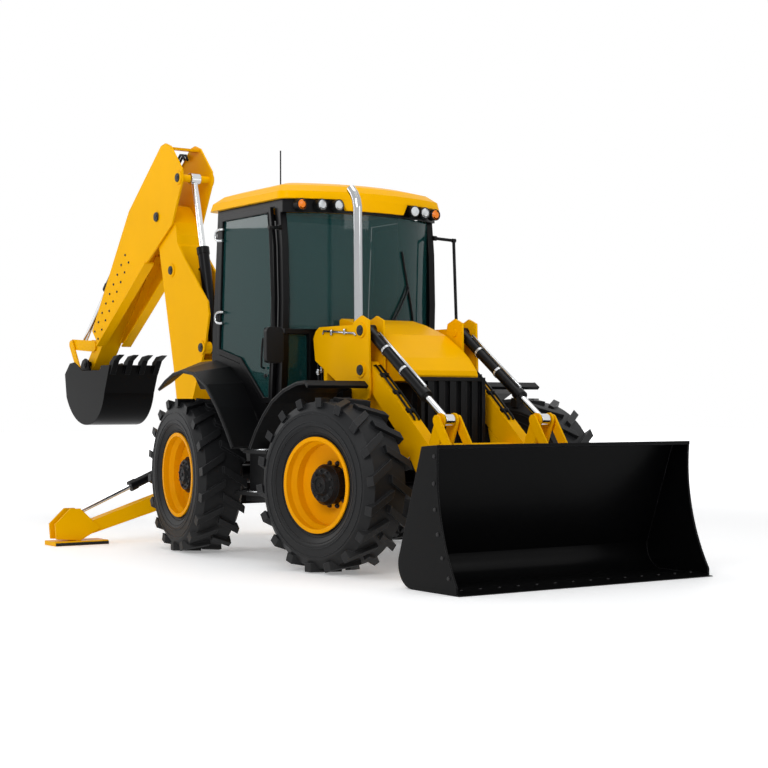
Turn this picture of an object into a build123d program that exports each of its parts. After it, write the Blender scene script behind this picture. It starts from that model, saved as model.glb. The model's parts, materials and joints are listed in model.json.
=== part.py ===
from build123d import *
import os
from math import cos, hypot, radians, sin, sqrt

# Backhoe loader, modelled piece by piece in millimetres.
# X runs forward, Y to the machine's left and Z up from the ground.
# Side outlines are drawn with X measured from the rear axle, and DATUM_X moves that
# datum so that the middle of the machine's length is at X = 0.

os.makedirs("parts", exist_ok=True)

# Overall layout
BUCKET_TOE_X = 4190
DIG_BUCKET_REAR_X = -4764
DATUM_X = (BUCKET_TOE_X + DIG_BUCKET_REAR_X) / 2
WHEELBASE = 2220
GAP = 0.3
RUNNING_FIT = 0.1
CLEARANCE = 15

# Wheels and axles
TYRE_RADIUS = 685
TYRE_WIDTH = 420
LUG_HEIGHT = 38
LUG_WIDTH = 60
LUG_COUNT = 18
LUG_ANGLE = 40
WHEEL_Y = 1000
KINGPIN_Y = 800
KINGPIN_RADIUS = 30
FRONT_STEER = 9.8
REAR_STEER = -6.4
RIM_RADIUS = 356
RIM_FLANGE_RADIUS = 376
RIM_WIDTH = 364
RIM_WALL = 12
DISC_OFFSET = 30
DISC_THICKNESS = 16
HUB_RADIUS = 150
HUB_LENGTH = 140
HUB_CAP_RADIUS = 85
SPINDLE_RADIUS = 60
SPINDLE_END = 55
AXLE_TUBE_RADIUS = 85
AXLE_HOUSING_RADIUS = 190

# Chassis
TIE_DOWN_RADIUS = 25
FRONT_TIE_DOWN = (1360, 885)
REAR_TIE_DOWN = (790, 885)
RAIL_Y = 300
RAIL_THICKNESS = 40
RAIL_TOP = 985
RAIL_BOTTOM = 785
FRAME_FRONT_X = 2440
FRAME_REAR_X = -1160

# Loader
ARM_Y = 470
ARM_WIDTH = 96
TOWER_PLATE = 20
TOWER_GAP = ARM_WIDTH + 2 * CLEARANCE
PIN_RADIUS = 30
BOSS_RADIUS = 62
ARM_PIVOT = (1990, 1590)
TILT_RAM_BASE = (1990, 1910)
LIFT_RAM_BASE = (1480, 770)
LIFT_RAM_EYE = (2500, 930)
LEVER_PIVOT = (2880, 800)
LEVER_APEX = (3050, 1190)
BUCKET_PIVOT = (3360, 200)
BUCKET_LINK_PIN = (3500, 550)
LEVER_PLATE = 18
BUCKET_HALF_WIDTH = 1210
BUCKET_SHEET = 16

# Backhoe
BOOM_HALF_WIDTH = 150
BOOM_PLATE = 20
KINGPOST_X = -1600
KINGPOST_RADIUS = 85
KINGPOST_PIN_RADIUS = 40
KINGPOST_EAR = 30
REAR_FRAME_X = -1160
REAR_FRAME_PLATE = 25
REAR_FRAME_GAP = 165
REAR_FRAME_HALF_WIDTH = 720
CARRIAGE_PLATE = 25
BOOM_PIVOT = (-1840, 950)
BOOM_RAM_BASE = (-2070, 620)
BOOM_RAM_EYE = (-2150, 2690)
DIPPER_PIVOT = (-2420, 3260)
DIPPER_RAM_BASE = (-1500, 1880)
DIPPER_RAM_EYE = (-1930, 3610)
DIG_BUCKET_PIVOT = (-4250, 1770)
ROCKER_PIVOT = (-4145, 1972)
ROCKER_EYE = (-4704, 2007)
DIG_LINK_PIN = (-4407, 1574)
CROWD_RAM_BASE = (-3100, 3420)
SLIDE_ANGLE = 45
SLIDE_HALF_WIDTH = 110
SLIDE_DEPTH = 160
SLIDE_WALL = 14
SLIDE_TOP = 2150
DIPPER_END = 400
ROCKER_Y = 114
ROCKER_PLATE = 16
LINK_Y = 136
DIG_EAR_Y = 164
DIG_EAR_PLATE = 20
DIPPER_PLATE = 20
DIG_BUCKET_HALF_WIDTH = 300
DIG_BUCKET_SHEET = 14

# Stabilisers, in the plane across the machine
LEG_X = -1267.5
LEG_PIVOT = (620, 420)
LEG_FOOT = (1640, 110)
LEG_RAM_PIN = (1650, 275)
STABILISER_RAM_BASE = (350, 830)

# Cab
CAB_HALF_WIDTH = 800
CAB_REAR_X = -100
CAB_FRONT_X = 1180
CAB_FLOOR = 1060
CAB_EAVES = 3040
CAB_TOP = 3200
CAB_WALL = 50
PILLAR = 70
GLASS = 12
DOOR_THICKNESS = 40


def side_plane(y):
    """Plane facing the machine's right, with X from the rear axle and Z up."""
    return Plane(origin=(-DATUM_X, y, 0), x_dir=(1, 0, 0), z_dir=(0, -1, 0))


def cross_plane(x):
    """Plane facing forward at a distance x from the rear axle, with Y and Z."""
    return Plane(origin=(x - DATUM_X, 0, 0), x_dir=(0, 1, 0), z_dir=(1, 0, 0))


def top_plane(z):
    """Plane facing up at the height z, with X from the rear axle and Y."""
    return Plane(origin=(-DATUM_X, 0, z), x_dir=(1, 0, 0), z_dir=(0, 0, 1))


def side_plate(points, y_from, y_to, mode=Mode.ADD):
    """Flat plate with a side outline, between two values of Y."""
    low, high = sorted((y_from, y_to))
    with BuildSketch(side_plane(high)) as outline:
        with BuildLine():
            Polyline(*points, close=True)
        make_face()
    extrude(outline.sketch, amount=high - low, mode=mode)


def cross_plate(points, x_from, x_to, mode=Mode.ADD):
    """Flat plate with an outline in Y and Z, between two values of X."""
    low, high = sorted((x_from, x_to))
    with BuildSketch(cross_plane(low)) as outline:
        with BuildLine():
            Polyline(*points, close=True)
        make_face()
    extrude(outline.sketch, amount=high - low, mode=mode)


def flat_plate(points, z_from, z_to, mode=Mode.ADD):
    """Flat plate with a plan outline, between two heights."""
    with BuildSketch(top_plane(z_from)) as outline:
        with BuildLine():
            Polyline(*points, close=True)
        make_face()
    extrude(outline.sketch, amount=z_to - z_from, mode=mode)


def block(x_from, x_to, y_from, y_to, z_from, z_to, mode=Mode.ADD):
    """Box between two values of X, Y and Z."""
    corners = [(x_from, z_from), (x_to, z_from), (x_to, z_to), (x_from, z_to)]
    side_plate(corners, y_from, y_to, mode)


def side_disc(pin, radius, y_from, y_to, mode=Mode.ADD):
    """Cylinder along Y around a pin's place in the side view."""
    low, high = sorted((y_from, y_to))
    with BuildSketch(side_plane(high)) as outline:
        with Locations(pin):
            Circle(radius)
    extrude(outline.sketch, amount=high - low, mode=mode)


def side_link(pin_a, pin_b, radius_a, radius_b, y_from, y_to, mode=Mode.ADD):
    """Plate with a round end about each of two pins."""
    low, high = sorted((y_from, y_to))
    with BuildSketch(side_plane(high)) as outline:
        with Locations(pin_a):
            Circle(radius_a)
        with Locations(pin_b):
            Circle(radius_b)
        make_hull()
    extrude(outline.sketch, amount=high - low, mode=mode)


def cross_disc(pin, radius, x_from, x_to, mode=Mode.ADD):
    """Cylinder along X around a pin's place in the view from the rear."""
    low, high = sorted((x_from, x_to))
    with BuildSketch(cross_plane(low)) as outline:
        with Locations(pin):
            Circle(radius)
    extrude(outline.sketch, amount=high - low, mode=mode)


def cross_link(pin_a, pin_b, radius_a, radius_b, x_from, x_to, mode=Mode.ADD):
    """Plate across the machine with a round end about each of two pins."""
    low, high = sorted((x_from, x_to))
    with BuildSketch(cross_plane(low)) as outline:
        with Locations(pin_a):
            Circle(radius_a)
        with Locations(pin_b):
            Circle(radius_b)
        make_hull()
    extrude(outline.sketch, amount=high - low, mode=mode)


def upright(x, y, radius, z_from, z_to, mode=Mode.ADD):
    """Cylinder along Z."""
    with BuildSketch(top_plane(z_from)) as outline:
        with Locations((x, y)):
            Circle(radius)
    extrude(outline.sketch, amount=z_to - z_from, mode=mode)


def round_bar(start, end, radius, mode=Mode.ADD):
    """Round bar between two points (x, y, z)."""
    along = Vector(end[0] - start[0], end[1] - start[1], end[2] - start[2])
    base = Plane(origin=(start[0] - DATUM_X, start[1], start[2]), z_dir=along)
    with BuildSketch(base) as outline:
        Circle(radius)
    extrude(outline.sketch, amount=along.length, mode=mode)


def toward(start, end, distance):
    """Point at a distance from start on the line to end."""
    share = distance / hypot(end[0] - start[0], end[1] - start[1])
    return tuple(a + (b - a) * share for a, b in zip(start, end))


def strip(points, thickness):
    """Closed outline of a bent sheet whose upper or outer face follows the points."""
    inner = []
    for number, point in enumerate(points):
        before = points[max(number - 1, 0)]
        after = points[min(number + 1, len(points) - 1)]
        run = hypot(after[0] - before[0], after[1] - before[1])
        inner.append((point[0] + (after[1] - before[1]) / run * thickness,
                      point[1] - (after[0] - before[0]) / run * thickness))
    return points + inner[::-1]


def ram_clear(name):
    """Half width that plates beside a ram's base must leave free."""
    return max(RAMS[name][4], RAMS[name][7]) + 4


def save(name, piece):
    piece.part.label = name
    export_step(piece.part, f"parts/{name}.step")


# Rams: a barrel with an eye on its base pin and a rod with an eye on its far pin.
# gland is how far the barrel reaches from its base pin, and stroke_back is how far the
# rod can still retract from where it stands.

RAMS = {
    # name: base, eye, gland, stroke_back, barrel radius, rod radius, eye radius, eye half width
    "lift": (LIFT_RAM_BASE, LIFT_RAM_EYE, 905, 42, 45, 25, 48, 34),
    "tilt": (TILT_RAM_BASE, LEVER_APEX, 960, 230, 45, 25, 48, 40),
    "boom": (BOOM_RAM_BASE, BOOM_RAM_EYE, 1380, 620, 62, 34, 60, 50),
    "dipper": (DIPPER_RAM_BASE, DIPPER_RAM_EYE, 1050, 668, 58, 32, 58, 50),
    "crowd": (CROWD_RAM_BASE, ROCKER_EYE, 1240, 815, 50, 28, 52, 45),
    "stabiliser": (STABILISER_RAM_BASE, LEG_RAM_PIN, 768, 590, 45, 25, 45, 45),
}
RAM_BOTTOM = 25


def ram_place(name):
    base, eye = RAMS[name][:2]
    return base, eye, hypot(eye[0] - base[0], eye[1] - base[1])


def ram_axis(name, across, place):
    """Plane at the ram's base pin, facing along the ram."""
    base, eye, length = ram_place(name)
    step = Vector(eye[0] - base[0], 0, eye[1] - base[1])
    origin = (base[0] - DATUM_X, place, base[1])
    if across:
        step = Vector(0, (eye[0] - base[0]) * across, eye[1] - base[1])
        origin = (place - DATUM_X, base[0] * across, base[1])
    return Plane(origin=origin, z_dir=step)


def eye_ring(name, across, place, pin, mode=Mode.ADD, radius=None):
    """Eye around a pin, or the bore through it and the tube behind it."""
    eye_radius, half_width = RAMS[name][6:8]
    ring = radius or eye_radius
    if radius:
        half_width = ram_clear(name)
    if across:
        cross_disc((pin[0] * across, pin[1]), ring, place - half_width, place + half_width, mode)
    else:
        side_disc(pin, ring, place - half_width, place + half_width, mode)


def ram_barrel(name, places, across=0):
    """Barrel with its eye, gland ring and bore, once at each place."""
    base, eye, length = ram_place(name)
    gland, stroke_back, barrel_radius, rod_radius, eye_radius = RAMS[name][2:7]
    with BuildPart() as barrel:
        for place in places:
            axis = ram_axis(name, across, place)
            with BuildSketch(axis) as outline:
                Circle(barrel_radius)
            extrude(outline.sketch, amount=gland)
            with BuildSketch(axis.offset(gland - 70)) as gland_ring:
                Circle(barrel_radius + 7)
            extrude(gland_ring.sketch, amount=70)
            eye_ring(name, across, place, base)
            with BuildSketch(axis.offset(eye_radius + RAM_BOTTOM)) as bore:
                Circle(rod_radius + GAP)
            extrude(bore.sketch, amount=gland, mode=Mode.SUBTRACT)
            eye_ring(name, across, place, base, Mode.SUBTRACT, PIN_RADIUS + RUNNING_FIT)
    return barrel


def ram_rod(name, places, across=0):
    """Rod with its eye, once at each place."""
    base, eye, length = ram_place(name)
    gland, stroke_back, barrel_radius, rod_radius, eye_radius = RAMS[name][2:7]
    inner_end = eye_radius + RAM_BOTTOM + CLEARANCE + stroke_back
    with BuildPart() as rod:
        for place in places:
            axis = ram_axis(name, across, place)
            with BuildSketch(axis.offset(inner_end)) as outline:
                Circle(rod_radius)
            extrude(outline.sketch, amount=length - inner_end)
            eye_ring(name, across, place, eye)
            eye_ring(name, across, place, eye, Mode.SUBTRACT, PIN_RADIUS + CLEARANCE / 10)
    return rod


SIDES = (-1, 1)

# Chassis frame: two rails, cross members, the towers' brackets and the nose block

TOWER_INNER = ARM_Y - TOWER_GAP / 2 - TOWER_PLATE
TOWER_OUTER = ARM_Y + TOWER_GAP / 2 + TOWER_PLATE
TOWER_LOW = 1330
SHELF_TOP = 1905
HOOD_HALF = 370

with BuildPart() as chassis_frame:
    for side in SIDES:
        block(FRAME_REAR_X, FRAME_FRONT_X, side * (RAIL_Y - RAIL_THICKNESS / 2),
              side * (RAIL_Y + RAIL_THICKNESS / 2), RAIL_BOTTOM, RAIL_TOP)
        block(1450, 2060, side * (RAIL_Y + RAIL_THICKNESS / 2), side * TOWER_INNER,
              RAIL_BOTTOM + 40, RAIL_TOP - 40)
    for cross_x in (FRAME_REAR_X + 60, 500, 1150, 1620):
        block(cross_x - 50, cross_x + 50, -RAIL_Y, RAIL_Y, RAIL_BOTTOM + 20, RAIL_BOTTOM + 100)
    block(FRAME_FRONT_X - 10, FRAME_FRONT_X + 60, -320, 320, 520, RAIL_BOTTOM + 20)
    for side in SIDES:
        for eye in (FRONT_TIE_DOWN, REAR_TIE_DOWN):
            side_disc(eye, TIE_DOWN_RADIUS, side * (RAIL_Y - RAIL_THICKNESS / 2),
                      side * (RAIL_Y + RAIL_THICKNESS / 2), Mode.SUBTRACT)
save("chassis_frame", chassis_frame)

# Loader towers: two plates on each side that hold the arm and the tilt ram between them,
# the outer one drawn back into the side panel under the cab's window

with BuildPart() as loader_towers:
    for side in SIDES:
        tower = [(1400, 700), (1560, 700), (2060, RAIL_BOTTOM), (2110, 1300), (2090, 1990),
                 (1990, 2030), (1890, 1990), (1720, 1300), (1400, 950)]
        side_plate(tower, side * TOWER_INNER, side * (TOWER_INNER + TOWER_PLATE))
        panel = [(1256, 1868), (1284, 1680), (1573, 1525), (1908, 1345), (2030, TOWER_LOW), (2090, 1360),
                 (2112, 1420), (2090, 1990), (1990, 2030), (1890, 1990), (1860, 1960), (1350, 1960), (1290, 1925)]
        side_plate(panel, side * (TOWER_OUTER - TOWER_PLATE), side * TOWER_OUTER)
        block(1740, 1860, side * TOWER_INNER, side * TOWER_OUTER, TOWER_LOW, TOWER_LOW + 120)
        for pin in (ARM_PIVOT, TILT_RAM_BASE):
            side_disc(pin, PIN_RADIUS, side * (TOWER_INNER - 8), side * (TOWER_OUTER + 8))
            side_disc(pin, BOSS_RADIUS, side * (TOWER_OUTER - 2), side * (TOWER_OUTER + 12))
        side_disc(LIFT_RAM_BASE, PIN_RADIUS, side * TOWER_INNER, side * (ARM_Y + 52))
        block(1400, 1860, side * (HOOD_HALF + 8), side * TOWER_OUTER, SHELF_TOP - 20, SHELF_TOP)
        block(1420, 1470, side * (TOWER_INNER + TOWER_PLATE - 1), side * (TOWER_OUTER - 1), 900, 1650)
save("loader_towers", loader_towers)

# Rear frame: two cross plates that hold the stabilisers, and the carriage with the
# lugs of the kingpost

REAR_PLATE_X = REAR_FRAME_X - REAR_FRAME_GAP - REAR_FRAME_PLATE
CARRIAGE_X = REAR_PLATE_X - REAR_FRAME_PLATE
LUG_REACH = 78
LUG_THICKNESS = 60
LUG_ROWS = (560, 1200)

with BuildPart() as rear_frame:
    outline = [(-REAR_FRAME_HALF_WIDTH, 330), (REAR_FRAME_HALF_WIDTH, 330), (REAR_FRAME_HALF_WIDTH, 620),
               (460, 1060), (-460, 1060), (-REAR_FRAME_HALF_WIDTH, 620)]
    cross_plate(outline, REAR_FRAME_X - REAR_FRAME_PLATE, REAR_FRAME_X)
    cross_plate(outline, REAR_PLATE_X - REAR_FRAME_PLATE, REAR_PLATE_X)
    block(REAR_PLATE_X, REAR_FRAME_X, -180, 180, 340, 1000)
    cross_plate([(-300, 480), (300, 480), (300, 1300), (-300, 1300)], CARRIAGE_X - CARRIAGE_PLATE, CARRIAGE_X)
    for lug_z in LUG_ROWS:
        with BuildSketch(top_plane(lug_z)) as lug:
            with Locations((KINGPOST_X, 0)):
                Circle(LUG_REACH)
            with Locations((CARRIAGE_X - 10, 0)):
                Rectangle(20, 200)
            make_hull()
        extrude(lug.sketch, amount=LUG_THICKNESS)
        upright(KINGPOST_X, 0, KINGPOST_PIN_RADIUS + GAP, lug_z, lug_z + LUG_THICKNESS, Mode.SUBTRACT)
    for side in SIDES:
        for pin in (LEG_PIVOT, STABILISER_RAM_BASE):
            cross_disc((side * pin[0], pin[1]), PIN_RADIUS, REAR_PLATE_X, REAR_FRAME_X)
save("rear_frame", rear_frame)

# Engine and gearbox, one plain block between the rails

with BuildPart() as engine_block:
    block(1250, 2250, -230, 230, 900, 1480)
    block(700, 1250, -200, 200, RAIL_BOTTOM + 120, 1020)
save("engine_block", engine_block)

# Axles: a tube with a central housing and a yoke at each end for the knuckle

YOKE_HEIGHT = 150
YOKE_PLATE = 36

with BuildPart() as axles:
    for axle_x in (0, WHEELBASE):
        centre = (axle_x, TYRE_RADIUS)
        side_disc(centre, AXLE_TUBE_RADIUS, -(KINGPIN_Y - 90), KINGPIN_Y - 90)
        side_disc(centre, AXLE_HOUSING_RADIUS, -110, 110)
        for side in SIDES:
            block(axle_x - 90, axle_x + 90, side * (RAIL_Y - 45), side * (RAIL_Y + 45), TYRE_RADIUS, RAIL_BOTTOM)
        for side in SIDES:
            yoke_y = side * (KINGPIN_Y - 90)
            block(axle_x - 60, axle_x + 60, yoke_y, yoke_y - side * 40, TYRE_RADIUS - YOKE_HEIGHT,
                  TYRE_RADIUS + YOKE_HEIGHT)
            for low in (TYRE_RADIUS - YOKE_HEIGHT, TYRE_RADIUS + YOKE_HEIGHT - YOKE_PLATE):
                block(axle_x - 60, axle_x + 60, yoke_y, side * (KINGPIN_Y + 55), low, low + YOKE_PLATE)
                upright(axle_x, side * KINGPIN_Y, KINGPIN_RADIUS + RUNNING_FIT, low, low + YOKE_PLATE,
                        Mode.SUBTRACT)
save("axles", axles)

# Knuckles, rims and tyres, one set at each corner

CORNERS = {
    # name: axle x, side, steering angle
    "front_right": (WHEELBASE, -1, FRONT_STEER),
    "front_left": (WHEELBASE, 1, FRONT_STEER),
    "rear_right": (0, -1, REAR_STEER),
    "rear_left": (0, 1, REAR_STEER),
}
WHEEL_OFFSET = WHEEL_Y - KINGPIN_Y
LUG_STEP = 360 / LUG_COUNT
CARCASS_RADIUS = TYRE_RADIUS - LUG_HEIGHT


def steered(axle_x, side, angle):
    """Plane at the kingpin whose Z runs outward along the steered wheel's axis."""
    turn = radians(angle)
    return Plane(origin=(axle_x - DATUM_X, side * KINGPIN_Y, TYRE_RADIUS),
                 x_dir=(cos(turn), sin(turn), 0),
                 z_dir=(-side * sin(turn), side * cos(turn), 0))


def wheel_section(base, points):
    """Solid of revolution about the wheel's axis, from points (radius, distance outward)."""
    section_plane = Plane(origin=base.origin, x_dir=(0, 0, 1), z_dir=base.x_dir * (1 if base.z_dir.Y < 0 else -1))
    with BuildSketch(section_plane) as section:
        with BuildLine():
            Polyline(*points, close=True)
        make_face()
    revolve(section.sketch, axis=Axis(base.origin, base.z_dir))


for corner, (axle_x, side, angle) in CORNERS.items():
    base = steered(axle_x, side, angle)
    with BuildPart() as knuckle:
        with BuildSketch(base.offset(-40)) as body:
            Rectangle(120, 2 * (YOKE_HEIGHT - YOKE_PLATE) - 2)
        extrude(body.sketch, amount=80)
        with BuildSketch(base.offset(40)) as spindle:
            Circle(SPINDLE_RADIUS)
        extrude(spindle.sketch, amount=WHEEL_OFFSET + SPINDLE_END)
        upright(axle_x, side * KINGPIN_Y, KINGPIN_RADIUS, TYRE_RADIUS - YOKE_HEIGHT, TYRE_RADIUS + YOKE_HEIGHT)
    save(f"knuckle_{corner}", knuckle)

    middle = WHEEL_OFFSET
    rim_out = middle + RIM_WIDTH / 2
    rim_in = middle - RIM_WIDTH / 2
    disc = middle - DISC_OFFSET
    with BuildPart() as rim:
        barrel = [(RIM_FLANGE_RADIUS, rim_in), (RIM_FLANGE_RADIUS, rim_in + 14), (RIM_RADIUS, rim_in + 20),
                  (RIM_RADIUS - 26, rim_in + 70), (RIM_RADIUS - 26, rim_out - 90), (RIM_RADIUS, rim_out - 50),
                  (RIM_RADIUS, rim_out - 20), (RIM_FLANGE_RADIUS, rim_out - 14), (RIM_FLANGE_RADIUS, rim_out),
                  (RIM_RADIUS - RIM_WALL, rim_out), (RIM_RADIUS - RIM_WALL, rim_out - 50),
                  (RIM_RADIUS - 26 - RIM_WALL, rim_out - 90), (RIM_RADIUS - 26 - RIM_WALL, rim_in + 70),
                  (RIM_RADIUS - RIM_WALL, rim_in + 20), (RIM_RADIUS - RIM_WALL, rim_in)]
        wheel_section(base, barrel)
        plate = [(HUB_RADIUS - 20, disc), (HUB_RADIUS - 20, disc + DISC_THICKNESS),
                 (HUB_RADIUS + 40, disc + DISC_THICKNESS), (RIM_RADIUS - 30, disc + 60),
                 (RIM_RADIUS - 30, disc + 60 - DISC_THICKNESS), (HUB_RADIUS + 40, disc)]
        wheel_section(base, plate)
        hub = [(SPINDLE_RADIUS + RUNNING_FIT, disc - 60), (HUB_RADIUS, disc - 60), (HUB_RADIUS, disc + HUB_LENGTH - 30),
               (HUB_RADIUS - 20, disc + HUB_LENGTH), (HUB_CAP_RADIUS, disc + HUB_LENGTH),
               (HUB_CAP_RADIUS - 15, disc + HUB_LENGTH + 20), (0, disc + HUB_LENGTH + 20),
               (0, disc + HUB_LENGTH - 10), (SPINDLE_RADIUS + RUNNING_FIT, disc + HUB_LENGTH - 10)]
        wheel_section(base, hub)
    save(f"rim_{corner}", rim)

    half = TYRE_WIDTH / 2
    rise = half * sin(radians(LUG_ANGLE))
    span = rise + LUG_WIDTH
    lug_top = sqrt(TYRE_RADIUS**2 - (span / 2)**2)
    lugs = []
    for row in SIDES:
        with BuildPart() as lug:
            with BuildSketch(Plane(origin=base.origin, x_dir=base.z_dir, z_dir=base.x_dir)
                             .offset(CARCASS_RADIUS - 40)) as footprint:
                with BuildLine():
                    inner = middle - row * 8
                    outer = middle + row * (half - 2)
                    Polyline((inner, -span / 2), (inner, LUG_WIDTH - span / 2), (outer, span / 2),
                             (outer, span / 2 - LUG_WIDTH - 8), close=True)
                make_face()
            extrude(footprint.sketch, amount=lug_top - CARCASS_RADIUS + 40)
        for number in range(LUG_COUNT):
            turn = number * LUG_STEP + (LUG_STEP / 2 if row > 0 else 0)
            lugs.append(lug.part.rotate(Axis(base.origin, base.z_dir), turn))
    with BuildPart() as tyre:
        carcass = [(RIM_RADIUS + GAP, middle - RIM_WIDTH / 2 + 20.5), (RIM_FLANGE_RADIUS + 2, middle - half + 50),
                   (470, middle - half), (CARCASS_RADIUS - 70, middle - half), (CARCASS_RADIUS, middle - half + 50),
                   (CARCASS_RADIUS, middle + half - 50), (CARCASS_RADIUS - 70, middle + half),
                   (470, middle + half), (RIM_FLANGE_RADIUS + 2, middle + half - 50),
                   (RIM_RADIUS + GAP, middle + RIM_WIDTH / 2 - 20.5)]
        wheel_section(base, carcass)
        add(lugs)
    save(f"tyre_{corner}", tyre)

# Loader arms with their cross tube and the brackets of the lift rams

LEVER_PIN_END = LEVER_PLATE + 8

with BuildPart() as loader_arms:
    arm = [(1925, 1600), (1960, 1660), (2040, 1660), (2420, 1370), (2860, 1010), (3010, 820), (3420, 240),
           (3400, 140), (3310, 130), (3130, 330), (2700, 790), (2520, 1030), (2190, 1310), (1965, 1530)]
    for side in SIDES:
        side_plate(arm, side * (ARM_Y - ARM_WIDTH / 2), side * (ARM_Y + ARM_WIDTH / 2))
        ear = [(2405, 1115), (2640, 930), (2550, 870), (2475, 870)]
        for offset in (-1, 1):
            side_plate(ear, side * (ARM_Y + offset * (ARM_WIDTH / 2 - 12)), side * (ARM_Y + offset * ARM_WIDTH / 2))
    for side in SIDES:
        side_disc(ARM_PIVOT, PIN_RADIUS + RUNNING_FIT, side * (ARM_Y - ARM_WIDTH / 2),
                  side * (ARM_Y + ARM_WIDTH / 2), Mode.SUBTRACT)
        side_disc(BUCKET_PIVOT, PIN_RADIUS + RUNNING_FIT, side * (ARM_Y - ARM_WIDTH / 2),
                  side * (ARM_Y + ARM_WIDTH / 2), Mode.SUBTRACT)
        side_disc(LEVER_PIVOT, PIN_RADIUS, side * (ARM_Y - ARM_WIDTH / 2 - LEVER_PIN_END),
                  side * (ARM_Y + ARM_WIDTH / 2 + LEVER_PIN_END))
    side_disc((2680, 930), 75, -(ARM_Y - ARM_WIDTH / 2), ARM_Y - ARM_WIDTH / 2)
save("loader_arms", loader_arms)

# Front bucket: a curved shell between two side plates, with the ears of its pins

BUCKET_BACK_X = 3470
BUCKET_TOP_Z = 1030
BUCKET_LIP_X = 3930

with BuildPart() as front_bucket:
    with BuildSketch(side_plane(BUCKET_HALF_WIDTH)) as shell:
        with BuildLine():
            Line((BUCKET_TOE_X, 0), (3640, 0))
            ThreePointArc((3640, 0), (3500, 62), (3462, 210))
            Line((3462, 210), (3745, BUCKET_TOP_Z - 14))
            Line((3745, BUCKET_TOP_Z - 14), (BUCKET_LIP_X, BUCKET_TOP_Z))
            Line((BUCKET_LIP_X, BUCKET_TOP_Z), (BUCKET_LIP_X, BUCKET_TOP_Z - 26))
            Line((BUCKET_LIP_X, BUCKET_TOP_Z - 26), (3757, BUCKET_TOP_Z - 34))
            Line((3757, BUCKET_TOP_Z - 34), (3480, 220))
            ThreePointArc((3480, 220), (3520, 80), (3645, BUCKET_SHEET))
            Line((3645, BUCKET_SHEET), (4060, BUCKET_SHEET))
            Line((4060, BUCKET_SHEET), (BUCKET_TOE_X, 4))
            Line((BUCKET_TOE_X, 4), (BUCKET_TOE_X, 0))
        make_face()
    extrude(shell.sketch, amount=2 * BUCKET_HALF_WIDTH)
    for side in SIDES:
        with BuildSketch(side_plane(side * BUCKET_HALF_WIDTH + (BUCKET_SHEET if side < 0 else 0))) as cheek:
            with BuildLine():
                Line((4150, 0), (3640, 0))
                ThreePointArc((3640, 0), (3500, 62), (3462, 210))
                Line((3462, 210), (3745, BUCKET_TOP_Z - 14))
                Line((3745, BUCKET_TOP_Z - 14), (BUCKET_LIP_X, BUCKET_TOP_Z))
                ThreePointArc((BUCKET_LIP_X, BUCKET_TOP_Z), (3972, 480), (4150, 60))
                Line((4150, 60), (4150, 0))
            make_face()
        extrude(cheek.sketch, amount=BUCKET_SHEET)
        for offset in (-1, 1):
            inner = ARM_Y + offset * (ARM_WIDTH / 2 + CLEARANCE / 2 + 5)
            outer = inner + offset * 25
            ear = [(3300, 150), (3420, 130), (3480, 260), (3640, 700), (3560, 700), (3440, 590), (3300, 240)]
            side_plate(ear, side * inner, side * outer)
            side_disc(BUCKET_PIVOT, 62, side * inner, side * outer)
        side_disc(BUCKET_PIVOT, PIN_RADIUS, side * (ARM_Y - ARM_WIDTH / 2 - 38), side * (ARM_Y + ARM_WIDTH / 2 + 38))
        for offset in (-1, 1):
            stub = ARM_Y + offset * (ARM_WIDTH / 2 + 38)
            side_disc(BUCKET_LINK_PIN, PIN_RADIUS, side * (stub - offset * 10), side * (stub + offset * 34))
save("front_bucket", front_bucket)

# Tipping levers on the arms, and the links from them to the bucket

LEVER_INNER = ARM_WIDTH / 2 + 6
LINK_INNER = LEVER_INNER + LEVER_PLATE + 20
LINK_END = 42
LINK_PLATE = 16

with BuildPart() as tipping_levers:
    for side in SIDES:
        for offset in (-1, 1):
            low = ARM_Y + offset * LEVER_INNER
            high = low + offset * LEVER_PLATE
            side_link(LEVER_PIVOT, LEVER_APEX, 62, 56, side * low, side * high)
            side_disc(LEVER_PIVOT, PIN_RADIUS + RUNNING_FIT, side * low, side * high, Mode.SUBTRACT)
            side_disc(LEVER_APEX, PIN_RADIUS, side * low, side * (ARM_Y + offset * (LINK_INNER - 3)))
save("tipping_levers", tipping_levers)

with BuildPart() as bucket_links:
    for side in SIDES:
        for offset in (-1, 1):
            low = ARM_Y + offset * LINK_INNER
            high = low + offset * LINK_PLATE
            side_link(LEVER_APEX, BUCKET_LINK_PIN, LINK_END, LINK_END, side * low, side * high)
            side_disc(BUCKET_LINK_PIN, PIN_RADIUS + RUNNING_FIT, side * low, side * high, Mode.SUBTRACT)
save("bucket_links", bucket_links)

# Rams of the loader, a pair of each

ARM_PLACES = (-ARM_Y, ARM_Y)
save("lift_ram_barrels", ram_barrel("lift", ARM_PLACES))
save("lift_ram_rods", ram_rod("lift", ARM_PLACES))
save("tilt_ram_barrels", ram_barrel("tilt", ARM_PLACES))
save("tilt_ram_rods", ram_rod("tilt", ARM_PLACES))

# Kingpost: a pin in the carriage's lugs, a body between them and the ears of the boom

KINGPOST_LOW = LUG_ROWS[0] + LUG_THICKNESS + 2
KINGPOST_HIGH = LUG_ROWS[1] - 2
EAR_INNER = BOOM_HALF_WIDTH + 6

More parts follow.
